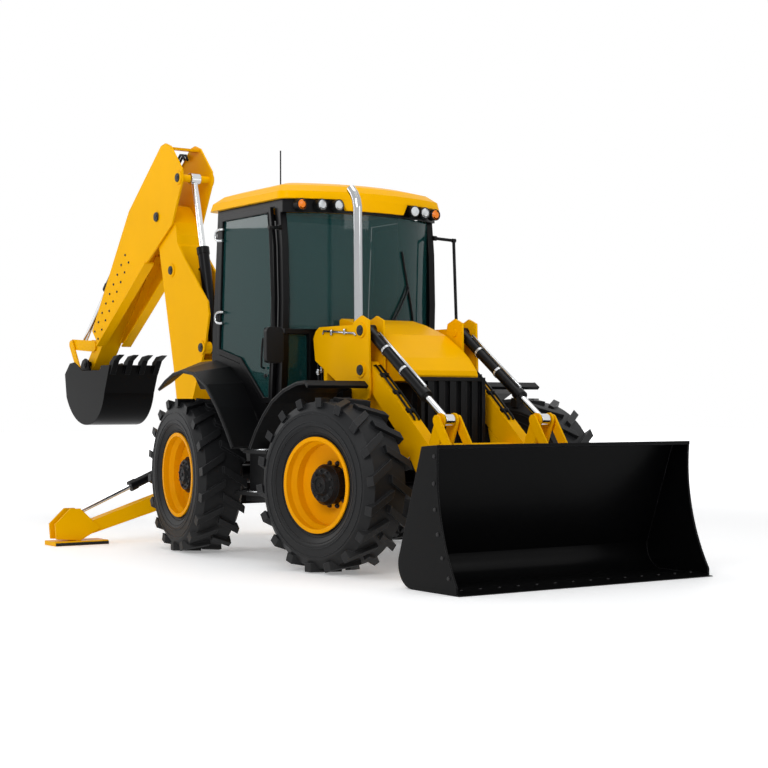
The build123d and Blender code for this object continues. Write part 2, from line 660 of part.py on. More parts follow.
with BuildPart() as kingpost:
    upright(KINGPOST_X, 0, KINGPOST_PIN_RADIUS, LUG_ROWS[0] - 30, LUG_ROWS[1] + LUG_THICKNESS + 30)
    upright(KINGPOST_X, 0, KINGPOST_RADIUS, KINGPOST_LOW, KINGPOST_HIGH)
    block(KINGPOST_X - 60, KINGPOST_X, -EAR_INNER, EAR_INNER, KINGPOST_LOW, KINGPOST_HIGH)
    ear = [(KINGPOST_X, KINGPOST_LOW), (KINGPOST_X, KINGPOST_HIGH), (-1700, KINGPOST_HIGH),
           (-1930, 1020), (-2160, 690), (-2150, 560), (-2040, 530), (-1830, KINGPOST_LOW)]
    for side in SIDES:
        side_plate(ear, side * EAR_INNER, side * (EAR_INNER + KINGPOST_EAR))
        side_disc(BOOM_PIVOT, 80, side * EAR_INNER, side * (EAR_INNER + KINGPOST_EAR + 8))
        side_disc(BOOM_RAM_BASE, 60, side * ram_clear("boom"), side * EAR_INNER)
    side_disc(BOOM_PIVOT, PIN_RADIUS, -EAR_INNER, EAR_INNER)
    side_disc(BOOM_RAM_BASE, PIN_RADIUS, -EAR_INNER, EAR_INNER)
save("kingpost", kingpost)

# Boom: two side plates with a web between them, open at the rear for its own ram and
# open toward the cab for the dipper's ram

with BuildPart() as boom:
    outline = [(-2555, 3230), (-2470, 3080), (-2120, 1700), (-1965, 920), (-1880, 830), (-1790, 835),
               (-1735, 920), (-1738, 1300), (-1440, 1880), (-1350, 2200), (-1380, 2330), (-1510, 2450),
               (-1880, 2800), (-2022, 2960), (-2050, 3120), (-2310, 3370), (-2450, 3400), (-2540, 3330)]
    side_plate(outline, -BOOM_HALF_WIDTH, BOOM_HALF_WIDTH)
    inside = BOOM_HALF_WIDTH - BOOM_PLATE
    rear_channel = [(-2700, 3040), (-2060, 3040), (-2035, 3000), (-1985, 2700), (-1730, 1870), (-1640, 1735),
                    (-1540, 1735), (-1768, 1310), (-1768, 1100), (-1860, 1040), (-1930, 980), (-2700, 980)]
    side_plate(rear_channel, -inside, inside, Mode.SUBTRACT)
    front_channel = [(-1200, 1760), (-1620, 1760), (-1705, 1880), (-1960, 2700), (-2010, 3000), (-2200, 3330),
                     (-2200, 3500), (-1200, 3500)]
    side_plate(front_channel, -inside, inside, Mode.SUBTRACT)
    side_disc(BOOM_PIVOT, PIN_RADIUS + RUNNING_FIT, -BOOM_HALF_WIDTH, BOOM_HALF_WIDTH, Mode.SUBTRACT)
    for side in SIDES:
        for pin, ram in ((BOOM_RAM_EYE, "boom"), (DIPPER_RAM_BASE, "dipper")):
            side_disc(pin, 60, side * ram_clear(ram), side * (inside + 1))
            side_disc(pin, 70, side * (BOOM_HALF_WIDTH - 1), side * (BOOM_HALF_WIDTH + 12))
    side_disc(DIPPER_RAM_BASE, PIN_RADIUS, -inside, inside)
    side_disc(DIPPER_PIVOT, PIN_RADIUS, -(BOOM_HALF_WIDTH + 40), BOOM_HALF_WIDTH + 40)
save("boom", boom)


def dig(along, across):
    """Point from the digging bucket's hinge, along the dipper and across it to its back."""
    turn = radians(SLIDE_ANGLE)
    return (DIG_BUCKET_PIVOT[0] + along * cos(turn) - across * sin(turn),
            DIG_BUCKET_PIVOT[1] + along * sin(turn) + across * cos(turn))


# Dipper: two plates outside the boom's head, with strips that hold the slide between them

DIPPER_INNER = BOOM_HALF_WIDTH + 10
SLIDE_HALF = SLIDE_DEPTH / 2
SLOT_HALF_WIDTH = 80

with BuildPart() as dipper:
    plate = [(-2320, 3980), (-2220, 3995), (-2110, 3955), (-1860, 3690), (-1855, 3570), (-2090, 3150),
             (-2660, 2810), dig(DIPPER_END, -SLIDE_HALF - 30), dig(DIPPER_END, SLIDE_HALF + 40), (-3090, 3380)]
    for side in SIDES:
        side_plate(plate, side * DIPPER_INNER, side * (DIPPER_INNER + DIPPER_PLATE))
        side_disc(DIPPER_PIVOT, PIN_RADIUS + RUNNING_FIT, side * DIPPER_INNER,
                  side * (DIPPER_INNER + DIPPER_PLATE), Mode.SUBTRACT)
        side_disc(DIPPER_RAM_EYE, 38, side * (RAMS["dipper"][7] + 6), side * (DIPPER_INNER + 1))
        side_disc(DIPPER_RAM_EYE, 72, side * (DIPPER_INNER + DIPPER_PLATE - 1), side * (DIPPER_INNER + 32))
        for face in (-1, 1):
            guide = [dig(DIPPER_END + 30, face * (SLIDE_HALF + 2)), dig(1700, face * (SLIDE_HALF + 2)),
                     dig(1700, face * (SLIDE_HALF + 20)), dig(DIPPER_END + 30, face * (SLIDE_HALF + 20))]
            side_plate(guide, side * SLOT_HALF_WIDTH, side * DIPPER_INNER)
        wear = [dig(DIPPER_END + 30, -60), dig(1700, -60), dig(1700, 60), dig(DIPPER_END + 30, 60)]
        side_plate(wear, side * (SLIDE_HALF_WIDTH + 2), side * DIPPER_INNER)
        flange = [dig(DIPPER_END, -SLIDE_HALF - 30), (-2660, 2810), (-2650, 2792), dig(DIPPER_END, -SLIDE_HALF - 50)]
        side_plate(flange, side * 100, side * (DIPPER_INNER + 50))
    bridge = [(-2320, 3970), (-2110, 3945), (-2120, 3920), (-2310, 3945)]
    side_plate(bridge, -DIPPER_INNER, DIPPER_INNER)
save("dipper", dipper)

# Slide: the box that runs in the dipper, with the ears of the crowd ram and the bores
# of the bucket's hinge and the rocker

with BuildPart() as dipper_slide:
    box = [dig(0, -SLIDE_HALF), dig(SLIDE_TOP, -SLIDE_HALF), dig(SLIDE_TOP, SLIDE_HALF), dig(0, SLIDE_HALF)]
    side_plate(box, -SLIDE_HALF_WIDTH, SLIDE_HALF_WIDTH)
    side_disc(DIG_BUCKET_PIVOT, SLIDE_HALF, -SLIDE_HALF_WIDTH, SLIDE_HALF_WIDTH)
    hollow = [dig(450, SLIDE_WALL - SLIDE_HALF), dig(SLIDE_TOP + 10, SLIDE_WALL - SLIDE_HALF),
              dig(SLIDE_TOP + 10, SLIDE_HALF - SLIDE_WALL), dig(450, SLIDE_HALF - SLIDE_WALL)]
    side_plate(hollow, SLIDE_WALL - SLIDE_HALF_WIDTH, SLIDE_HALF_WIDTH - SLIDE_WALL, Mode.SUBTRACT)
    side_link(ROCKER_PIVOT, dig(250, 0), 62, 70, -SLIDE_HALF_WIDTH, SLIDE_HALF_WIDTH)
    side_disc(DIG_BUCKET_PIVOT, PIN_RADIUS + RUNNING_FIT, -SLIDE_HALF_WIDTH, SLIDE_HALF_WIDTH, Mode.SUBTRACT)
    side_disc(ROCKER_PIVOT, PIN_RADIUS, -(ROCKER_Y + ROCKER_PLATE), ROCKER_Y + ROCKER_PLATE)
    ear_y = ram_clear("crowd")
    ear = [dig(1750, SLIDE_HALF - 5), dig(SLIDE_TOP - 10, SLIDE_HALF - 5), dig(2050, 330), dig(2040, 400),
           dig(1990, 424), dig(1930, 400), dig(1910, 330)]
    for side in SIDES:
        side_plate(ear, side * ear_y, side * (ear_y + 20))
    side_disc(CROWD_RAM_BASE, PIN_RADIUS, -ear_y, ear_y)
save("dipper_slide", dipper_slide)

# Digging bucket: a curved shell between two cheeks, four teeth and the ears of its pins

with BuildPart() as digging_bucket:
    low, high = -DIG_BUCKET_HALF_WIDTH, DIG_BUCKET_HALF_WIDTH
    with BuildSketch(side_plane(high)) as shell:
        with BuildLine():
            Line((-3340, 1740), (-3480, 1440))
            ThreePointArc((-3480, 1440), (-3650, 1180), (-3890, 1090))
            ThreePointArc((-3890, 1090), (-4290, 1180), (-4500, 1400))
            Line((-4500, 1400), (-4110, 1700))
            Line((-4110, 1700), (-4101, 1689))
            Line((-4101, 1689), (-4478, 1396))
            ThreePointArc((-4478, 1396), (-4280, 1194), (-3890, 1104))
            ThreePointArc((-3890, 1104), (-3660, 1191), (-3494, 1446))
            Line((-3494, 1446), (-3358, 1746))
            Line((-3358, 1746), (-3340, 1740))
        make_face()
    extrude(shell.sketch, amount=high - low)
    for side in SIDES:
        cheek_y = side * high + (DIG_BUCKET_SHEET if side < 0 else 0)
        with BuildSketch(side_plane(cheek_y)) as cheek:
            with BuildLine():
                Line((-3350, 1743), (-3480, 1440))
                ThreePointArc((-3480, 1440), (-3650, 1180), (-3890, 1090))
                ThreePointArc((-3890, 1090), (-4290, 1180), (-4500, 1400))
                Line((-4500, 1400), (-4540, 1660))
                Line((-4540, 1660), (-4400, 1780))
                Line((-4400, 1780), (-4280, 1790))
                Line((-4280, 1790), (-4060, 1690))
                Line((-4060, 1690), (-3600, 1690))
                Line((-3600, 1690), (-3560, 1740))
                Line((-3560, 1740), (-3350, 1743))
            make_face()
        extrude(cheek.sketch, amount=DIG_BUCKET_SHEET)
        ear = [(-4120, 1692), (-4170, 1810), (-4250, 1835), (-4320, 1810), (-4470, 1620), (-4470, 1530),
               (-4430, 1460)]
        side_plate(ear, side * DIG_EAR_Y, side * (DIG_EAR_Y + DIG_EAR_PLATE))
        side_disc(DIG_LINK_PIN, PIN_RADIUS, side * LINK_Y, side * DIG_EAR_Y)
    side_disc(DIG_BUCKET_PIVOT, PIN_RADIUS, -(DIG_EAR_Y + 5), DIG_EAR_Y + 5)
    for number in range(4):
        tooth_y = low + 45 + number * (high - low - 90) / 3
        tooth = [(-3390, 1650), (-3355, 1640), (-3250, 1790), (-3120, 1850), (-3270, 1835), (-3370, 1770)]
        side_plate(tooth, tooth_y - 32, tooth_y + 32)
save("digging_bucket", digging_bucket)

# Rocker on the slide and link on the bucket, which meet at the crowd ram's eye

with BuildPart() as bucket_rocker:
    for side in SIDES:
        low, high = side * ROCKER_Y, side * (ROCKER_Y + ROCKER_PLATE)
        side_link(ROCKER_PIVOT, ROCKER_EYE, 62, 60, low, high)
        side_disc(ROCKER_PIVOT, PIN_RADIUS + RUNNING_FIT, low, high, Mode.SUBTRACT)
        side_disc(ROCKER_EYE, 45, side * (RAMS["crowd"][7] + 6), low)
save("bucket_rocker", bucket_rocker)

with BuildPart() as bucket_link:
    for side in SIDES:
        low, high = side * LINK_Y, side * (LINK_Y + ROCKER_PLATE)
        side_link(DIG_LINK_PIN, ROCKER_EYE, 43, 48, low, high)
        side_disc(DIG_LINK_PIN, PIN_RADIUS + RUNNING_FIT, low, high, Mode.SUBTRACT)
save("bucket_link", bucket_link)

save("boom_ram_barrel", ram_barrel("boom", (0,)))
save("boom_ram_rod", ram_rod("boom", (0,)))
save("dipper_ram_barrel", ram_barrel("dipper", (0,)))
save("dipper_ram_rod", ram_rod("dipper", (0,)))
save("crowd_ram_barrel", ram_barrel("crowd", (0,)))
save("crowd_ram_rod", ram_rod("crowd", (0,)))

# Stabilisers: a box leg with a foot pad on each side, and its ram

LEG_HALF = 65
for side, hand in ((-1, "right"), (1, "left")):
    with BuildPart() as leg:
        pivot, foot = [(side * y, z) for y, z in (LEG_PIVOT, LEG_FOOT)]
        cross_link(pivot, foot, 75, 55, LEG_X - LEG_HALF, LEG_X + LEG_HALF)
        cheek = [(side * 1400, 150), (side * 1600, 40), (side * 1840, 60), (side * 1850, 200),
                 (side * 1700, 340), (side * 1600, 340)]
        for offset in (-1, 1):
            cross_plate(cheek, LEG_X + offset * (LEG_HALF - 8), LEG_X + offset * (LEG_HALF + 15))
        block(LEG_X - 130, LEG_X + 130, side * 1340, side * 1870, 0, 40)
        cross_disc(pivot, PIN_RADIUS + RUNNING_FIT, LEG_X - LEG_HALF, LEG_X + LEG_HALF, Mode.SUBTRACT)
    save(f"stabiliser_leg_{hand}", leg)
    save(f"stabiliser_barrel_{hand}", ram_barrel("stabiliser", (LEG_X,), side))
    save(f"stabiliser_rod_{hand}", ram_rod("stabiliser", (LEG_X,), side))

# Cab frame: floor between the wheels, lower walls, pillars and top rails

CAB_INNER = CAB_HALF_WIDTH - 70
CAB_SIDE = CAB_HALF_WIDTH - 10
WELL_Y = 500
WELL_TOP = 1440
WELL_FRONT_X = 820
WELL_SLOPE = [(480, WELL_TOP), (700, 1250), (WELL_FRONT_X, CAB_FLOOR)]
DOOR_INNER = CAB_SIDE + 4
DOOR_EDGE = 45
SCREEN_LOW = 1950
VISOR_LOW = 2930
RAIL_LOW = 2985

with BuildPart() as cab_frame:
    block(CAB_REAR_X, CAB_FRONT_X, -WELL_Y, WELL_Y, CAB_FLOOR, CAB_FLOOR + 40)
    block(CAB_REAR_X, CAB_REAR_X + 30, -CAB_SIDE, CAB_SIDE, WELL_TOP - 20, 1760)
    block(CAB_REAR_X, CAB_REAR_X + 30, -WELL_Y, WELL_Y, CAB_FLOOR, WELL_TOP)
    block(CAB_FRONT_X - 40, CAB_FRONT_X, -540, 540, CAB_FLOOR, SCREEN_LOW)
    block(CAB_FRONT_X - 40, CAB_FRONT_X, -CAB_SIDE, CAB_SIDE, CAB_FLOOR, 1320)
    block(CAB_FRONT_X - 120, CAB_FRONT_X, -CAB_SIDE, CAB_SIDE, SCREEN_LOW - 40, SCREEN_LOW)
    block(WELL_FRONT_X - 30, CAB_FRONT_X, -CAB_SIDE, CAB_SIDE, CAB_FLOOR - 10, CAB_FLOOR + 20)
    for side in SIDES:
        wall = [(CAB_REAR_X, CAB_FLOOR)] + WELL_SLOPE[::-1] + [(CAB_REAR_X, WELL_TOP)]
        side_plate(wall, side * (WELL_Y - 20), side * WELL_Y)
        side_plate(strip([(CAB_REAR_X, WELL_TOP)] + WELL_SLOPE, 20), side * (WELL_Y - 20), side * CAB_SIDE)
        sill = [(CAB_REAR_X, WELL_TOP - 20), (475, WELL_TOP - 20), (690, 1240), (WELL_FRONT_X - 5, CAB_FLOOR - 10),
                (CAB_FRONT_X, CAB_FLOOR - 10), (1110, 1310), (875, 1310), (470, 1655), (60, 1750), (CAB_REAR_X, 1760)]
        side_plate(sill, side * (CAB_SIDE - 20), side * CAB_SIDE)
        rear_pillar = [(-100, 1740), (45, 1740), (135, CAB_EAVES), (25, CAB_EAVES)]
        side_plate(rear_pillar, side * CAB_INNER, side * CAB_SIDE)
        front_pillar = [(1020, 1300), (1110, 1300), (1145, 1750), (1160, 2200), (1145, 2650), (1100, CAB_EAVES),
                        (1015, CAB_EAVES), (1065, 2650), (1082, 2200), (1065, 1750)]
        side_plate(front_pillar, side * CAB_INNER, side * CAB_SIDE)
        block(30, 1090, side * CAB_INNER, side * CAB_SIDE, RAIL_LOW, CAB_EAVES)
    block(30, 110, -CAB_INNER, CAB_INNER, RAIL_LOW, CAB_EAVES)
    block(1020, 1100, -CAB_INNER, CAB_INNER, RAIL_LOW, CAB_EAVES)
    with BuildSketch(top_plane(VISOR_LOW)) as visor:
        with BuildLine():
            Line((1050, -CAB_SIDE), (1150, -CAB_SIDE))
            ThreePointArc((1150, -CAB_SIDE), (1375, 0), (1150, CAB_SIDE))
            Line((1150, CAB_SIDE), (1050, CAB_SIDE))
            Line((1050, CAB_SIDE), (1050, CAB_SIDE - 20))
            Line((1050, CAB_SIDE - 20), (1130, CAB_SIDE - 20))
            ThreePointArc((1130, CAB_SIDE - 20), (1353, 0), (1130, 20 - CAB_SIDE))
            Line((1130, 20 - CAB_SIDE), (1050, 20 - CAB_SIDE))
            Line((1050, 20 - CAB_SIDE), (1050, -CAB_SIDE))
        make_face()
    extrude(visor.sketch, amount=CAB_EAVES - VISOR_LOW)
    with BuildSketch(top_plane(CAB_EAVES - 20)) as shelf:
        with BuildLine():
            Line((1050, -CAB_SIDE), (1150, -CAB_SIDE))
            ThreePointArc((1150, -CAB_SIDE), (1375, 0), (1150, CAB_SIDE))
            Line((1150, CAB_SIDE), (1050, CAB_SIDE))
            Line((1050, CAB_SIDE), (1050, -CAB_SIDE))
        make_face()
    extrude(shelf.sketch, amount=20)
save("cab_frame", cab_frame)

# Windows of the cab: windscreen, corner panes in front, and the rear window

with BuildPart() as cab_glass:
    with BuildSketch(top_plane(SCREEN_LOW + 1)) as screen:
        with BuildLine():
            ThreePointArc((1112, -CAB_INNER), (1345, 0), (1112, CAB_INNER))
            Line((1112, CAB_INNER), (1100, CAB_INNER - 6))
            ThreePointArc((1100, CAB_INNER - 6), (1335, 0), (1100, 6 - CAB_INNER))
            Line((1100, 6 - CAB_INNER), (1112, -CAB_INNER))
        make_face()
    extrude(screen.sketch, amount=VISOR_LOW - SCREEN_LOW - 2)
    for side in SIDES:
        block(1125, 1135, side * 545, side * (CAB_INNER - 1), 1325, SCREEN_LOW - 45)
    pane = [(-70, 1765), (-60, 1765), (62, RAIL_LOW - 2), (52, RAIL_LOW - 2)]
    side_plate(pane, 1 - CAB_INNER, CAB_INNER - 1)
save("cab_glass", cab_glass)

# Roof: a low crowned shell over the top rails, with a lip between the two groups of lamps

ROOF_OUTSIDE = (
    # height, rear, front at the side, front in the middle, half width, corner radius
    (CAB_EAVES, -120, 1190, 1400, 835, 110),
    (CAB_EAVES + 65, -100, 1180, 1390, 820, 110),
    (CAB_EAVES + 125, -10, 1110, 1300, 750, 100),
    (CAB_TOP, 120, 1000, 1170, 640, 90),
)
ROOF_INSIDE = (
    (CAB_EAVES, -55, 1130, 1335, 775, 60),
    (CAB_EAVES + 60, -55, 1130, 1335, 775, 60),
    (CAB_EAVES + 105, 20, 1080, 1265, 715, 60),
    (CAB_TOP - 25, 150, 980, 1140, 610, 60),
)
LIP_LOW = 2950
LIP_HALF = 335


def roof_loft(sections, mode=Mode.ADD):
    """Loft through plan outlines with a curved front edge."""
    faces = []
    for height, rear, front_side, front_middle, half, corner in sections:
        with BuildSketch(top_plane(height)) as outline:
            with BuildLine():
                Polyline((front_side, -half), (rear, -half), (rear, half), (front_side, half))
                ThreePointArc((front_side, half), (front_middle, 0), (front_side, -half))
            make_face()
            fillet(outline.vertices(), corner)
        faces.append(outline.sketch.face())
    loft(sections=faces, ruled=True, mode=mode)


with BuildPart() as cab_roof:
    roof_loft(ROOF_OUTSIDE)
    roof_loft(ROOF_INSIDE, Mode.SUBTRACT)
    with BuildSketch(top_plane(LIP_LOW)) as lip:
        with BuildLine():
            ThreePointArc((1338, -LIP_HALF), (1376, 0), (1338, LIP_HALF))
            Line((1338, LIP_HALF), (1368, LIP_HALF))
            ThreePointArc((1368, LIP_HALF), (1400, 0), (1368, -LIP_HALF))
            Line((1368, -LIP_HALF), (1338, -LIP_HALF))
        make_face()
    extrude(lip.sketch, amount=CAB_EAVES + 8 - LIP_LOW)
    for side in SIDES:
        slope = [(side * (LIP_HALF - 45), LIP_LOW - 5), (side * (LIP_HALF + 5), LIP_LOW - 5),
                 (side * (LIP_HALF + 5), CAB_EAVES - 5)]
        cross_plate(slope, 1300, 1420, Mode.SUBTRACT)
save("cab_roof", cab_roof)

# Doors: a frame and its pane, hung on a post at the rear edge

PANE_SHARE = 0.999
DOOR_OUTLINE = [(58, 1768), (470, 1674), (872, 1324), (1018, 1324), (1058, 1750), (1074, 2200), (1057, 2650),
                (1005, 2980), (140, 2980)]
DOOR_OPENING = [(107, 1803), (488, 1715), (890, 1369), (977, 1369), (1013, 1755), (1029, 2200), (1013, 2645),
                (967, 2935), (181, 2935)]
for side, hand in ((-1, "right"), (1, "left")):
    with BuildPart() as door:
        side_plate(DOOR_OUTLINE, side * DOOR_INNER, side * (DOOR_INNER + DOOR_THICKNESS - 8))
        side_plate(DOOR_OPENING, side * DOOR_INNER, side * (DOOR_INNER + DOOR_THICKNESS - 8), Mode.SUBTRACT)
    save(f"door_{hand}", door)
    with BuildPart() as pane:
        inside = [((x - 560) * PANE_SHARE + 560, (z - 2200) * PANE_SHARE + 2200) for x, z in DOOR_OPENING]
        side_plate(inside, side * (DOOR_INNER + 12), side * (DOOR_INNER + 12 + GLASS / 2))
    save(f"door_glass_{hand}", pane)

# Mirrors on arms at the front corners of the cab, and the aerial on the roof

MIRROR_WIDTH = 165
MIRROR_HEIGHT = 300

with BuildPart() as mirrors:
    for side in SIDES:
        elbows = [(1130, side * 796, 2800), (1220, side * 950, 2780), (1270, side * 950, 1900)]
        for start, end in zip(elbows, elbows[1:]):
            round_bar(start, end, 14)
        side_disc((1220, 2780), 18, side * 932, side * 968)
        with BuildSketch(cross_plane(1245)) as head:
            with Locations((side * 950, 1805)):
                RectangleRounded(MIRROR_WIDTH, MIRROR_HEIGHT, 45)
        extrude(head.sketch, amount=50)
        side_disc((1130, 2800), 22, side * CAB_SIDE, side * 820)
    upright(800, -600, 6, CAB_TOP, 3500)
save("mirrors", mirrors)

# Inside the cab: seat, its base, side consoles, steering column and wheel

with BuildPart() as operator_seat:
    side_plate([(300, 1430), (740, 1430), (750, 1530), (400, 1540), (290, 2080), (200, 2080), (280, 1500)], -250, 250)
save("operator_seat", operator_seat)

with BuildPart() as driving_console:
    block(330, 640, -180, 180, CAB_FLOOR + 40, 1428)
    for side in SIDES:
        side_plate([(200, CAB_FLOOR + 40), (640, CAB_FLOOR + 40), (620, 1600), (560, 1640), (240, 1600)],
                   side * 300, side * 460)
    side_link((1040, 1160), (980, 1860), 60, 45, -50, 50)
    block(1000, CAB_FRONT_X - 40, -300, 300, CAB_FLOOR + 40, 1300)
    block(1060, CAB_FRONT_X - 40, -300, 300, CAB_FLOOR + 40, 1900)
    with BuildSketch(Plane(origin=(965 - DATUM_X, 0, 1925), z_dir=(-0.45, 0, 0.9))) as wheel:
        Circle(200)
        Circle(178, mode=Mode.SUBTRACT)
        Rectangle(370, 34)
        Rectangle(34, 370)
        Circle(50)
    extrude(wheel.sketch, amount=22)
    side_link((980, 1860), (965, 1935), 30, 20, -25, 25)
save("driving_console", driving_console)

# Hood, radiator grille and exhaust

HOOD_FRONT_HALF = 320
HOOD_REAR_X = 1380
GRILLE_RIBS = 5
GRILLE_PITCH = 110

with BuildPart() as hood:
    outline = [(HOOD_REAR_X, 1500), (2380, 1500), (2400, 1545), (2385, 1585), (2250, 1690), (1900, 1890),
               (1600, 1990), (1410, 2035), (HOOD_REAR_X, 2020)]
    side_plate(outline, -HOOD_HALF, HOOD_HALF)
    for side in SIDES:
        flat_plate([(2130, side * HOOD_HALF), (2400, side * HOOD_FRONT_HALF), (2410, side * (HOOD_HALF + 10)),
                    (2130, side * (HOOD_HALF + 10))], 1490, 1900, Mode.SUBTRACT)
    inside = [(HOOD_REAR_X + 15, 1490), (2120, 1490), (2120, 1745), (1890, 1870), (1595, 1970), (1410, 2010),
              (HOOD_REAR_X + 15, 2000)]
    side_plate(inside, 20 - HOOD_HALF, HOOD_HALF - 20, Mode.SUBTRACT)
    front_inside = [(2110, 1490), (2365, 1490), (2365, 1570), (2240, 1665), (2110, 1740)]
    side_plate(front_inside, 20 - HOOD_FRONT_HALF, HOOD_FRONT_HALF - 20, Mode.SUBTRACT)
save("hood", hood)

with BuildPart() as front_grille:
    block(2442, 2460, -HOOD_FRONT_HALF, HOOD_FRONT_HALF, RAIL_BOTTOM + 21, 1530)
    for number in range(GRILLE_RIBS):
        rib_y = (number - (GRILLE_RIBS - 1) / 2) * GRILLE_PITCH
        block(2460, 2490, rib_y - GRILLE_PITCH / 4, rib_y + GRILLE_PITCH / 4, 840, 1500)
    for side in SIDES:
        block(2460, 2500, side * (HOOD_FRONT_HALF - 30), side * HOOD_FRONT_HALF, RAIL_BOTTOM + 21, 1530)
    block(2450, 2495, -HOOD_FRONT_HALF, HOOD_FRONT_HALF, 1500, 1530)
    block(2460, 2500, -HOOD_FRONT_HALF, HOOD_FRONT_HALF, RAIL_BOTTOM + 21, 840)
save("front_grille", front_grille)

EXHAUST_RADIUS = 37
EXHAUST_Y = -450
EXHAUST_BENDS = [(1790, SHELF_TOP), (1780, 2925), (1764, 2990), (1728, 3046), (1680, 3090)]

with BuildPart() as exhaust_stack:
    elbows = [(x, EXHAUST_Y, z) for x, z in EXHAUST_BENDS]
    for start, end in zip(elbows, elbows[1:]):
        round_bar(start, end, EXHAUST_RADIUS)
    for x, y, z in elbows[1:-1]:
        with Locations((x - DATUM_X, y, z)):
            Sphere(EXHAUST_RADIUS)
    round_bar(elbows[-2], elbows[-1], EXHAUST_RADIUS - 5, Mode.SUBTRACT)
    block(1700, 1870, EXHAUST_Y - 60, EXHAUST_Y + 60, SHELF_TOP - 20, SHELF_TOP, Mode.SUBTRACT)
save("exhaust_stack", exhaust_stack)

# Fenders over the wheels, with the brackets that carry them

REAR_FENDER_INNER = [(-900, 1545), (-620, 1650), (-330, 1700), (-20, 1710), (240, 1650), (470, 1500),
                     (640, 1290), (760, 1110), (885, 955)]
REAR_FENDER_OUTER = [(-430, 1455), (-300, 1530), (-140, 1592), (40, 1618), (240, 1594), (470, 1485),
                     (680, 1290), (830, 1110), (945, 955)]
FRONT_FENDER = [(1230, 958), (1331, 1100), (1460, 1233), (1600, 1347), (1779, 1434), (1979, 1488), (2110, 1500),
                (2165, 1462)]
FENDER_OUTER = 1165
FRONT_FENDER_INNER = 600
FENDER_SHEET = 28

with BuildPart() as fenders:
    for side in SIDES:
        for place, points in ((CAB_SIDE, REAR_FENDER_INNER), (FENDER_OUTER, REAR_FENDER_OUTER)):
            with BuildSketch(side_plane(side * place)):
                with BuildLine():
                    Polyline(*strip(points, FENDER_SHEET), close=True)
                make_face()
        loft(ruled=True)
        web = [(-450, 1600), (-450, 1670), (-20, 1695), (240, 1635), (470, 1485), (600, 1320), (500, 1300),
               (300, 1450), (-300, 1450)]
        side_plate(web, side * CAB_SIDE, side * (CAB_SIDE + 12))
        side_plate(strip(FRONT_FENDER, FENDER_SHEET), side * FRONT_FENDER_INNER, side * FENDER_OUTER)
        bracket = [(1760, 1350), (1850, 1350), (1850, 1440), (1760, 1410)]
        side_plate(bracket, side * TOWER_OUTER, side * (FRONT_FENDER_INNER + 40))
save("fenders", fenders)

# Boxes and steps between the wheels

with BuildPart() as step_boxes:
    for side in SIDES:
        block(850, 1250, side * (RAIL_Y + RAIL_THICKNESS / 2), side * 940, 500, 900)
        block(920, 1320, side * 780, side * 1050, 900, 930)
        block(770, 1260, side * 800, side * 1050, 545, 575)
        block(850, 1250, side * 900, side * 980, 490, 560)
save("step_boxes", step_boxes)

# Lamps along the front of the roof

LAMP_PLACES = ((-690, 1234), (-530, 1299), (-390, 1339), (390, 1339), (530, 1299), (690, 1234))
with BuildPart() as work_lamps:
    for lamp_y, lamp_x in LAMP_PLACES:
        cross_disc((lamp_y, 2985), 48, lamp_x, lamp_x + 60)
        cross_disc((lamp_y, 2985), 40, lamp_x + 52, lamp_x + 70)
save("work_lamps", work_lamps)
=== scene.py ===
import json
from math import cos, pi, radians, sin, sqrt

import bmesh
import bpy
from mathutils import Matrix, Vector


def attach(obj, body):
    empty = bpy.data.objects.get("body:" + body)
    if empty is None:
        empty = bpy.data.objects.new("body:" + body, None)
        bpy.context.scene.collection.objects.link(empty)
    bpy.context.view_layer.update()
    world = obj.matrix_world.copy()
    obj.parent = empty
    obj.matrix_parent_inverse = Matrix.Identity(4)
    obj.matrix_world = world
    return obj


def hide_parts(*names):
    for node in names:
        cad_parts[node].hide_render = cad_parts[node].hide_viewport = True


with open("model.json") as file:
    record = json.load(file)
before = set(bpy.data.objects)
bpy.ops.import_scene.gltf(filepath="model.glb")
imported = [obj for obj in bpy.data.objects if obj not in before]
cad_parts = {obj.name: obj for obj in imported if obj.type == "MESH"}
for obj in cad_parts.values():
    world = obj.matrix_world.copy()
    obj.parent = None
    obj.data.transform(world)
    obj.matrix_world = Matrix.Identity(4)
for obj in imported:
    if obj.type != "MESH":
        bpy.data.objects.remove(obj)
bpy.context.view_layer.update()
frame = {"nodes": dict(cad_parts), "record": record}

# %% [markdown]
# A backhoe loader is a tractor with a bucket on lift arms in front and a digging arm behind.
# Its body is painted sheet and plate, so most of the work here is in paint, rubber, glass and
# polished rods, and in the small parts that a casting or a folded sheet carries.
# All lengths are in metres. X runs forward, Y to the machine's left and Z up. Side positions
# are easier to read from the rear axle, so a small helper turns them into the frame's own X,
# and a second one does so for a whole side outline at one Y.

# %% Places measured from the rear axle
REAR_AXLE_X = 0.287
SIDES = (-1, 1)


def at(x, y, z):
    """Point in the frame, from X measured forward of the rear axle."""
    return Vector((x + REAR_AXLE_X, y, z))


def along_side(places, y):
    """Points in the frame from side places (X, Z), all at one Y."""
    return [at(x, y, z) for x, z in places]


# %% [markdown]
# The camera stands low in front of the machine's right-hand corner, at a long focal length,
# as a studio photographer would place it for a large machine. The horizon is near the
# wheels' height, so the picture's frame is shifted up instead of tilting the camera, which
# keeps the cab's pillars upright.

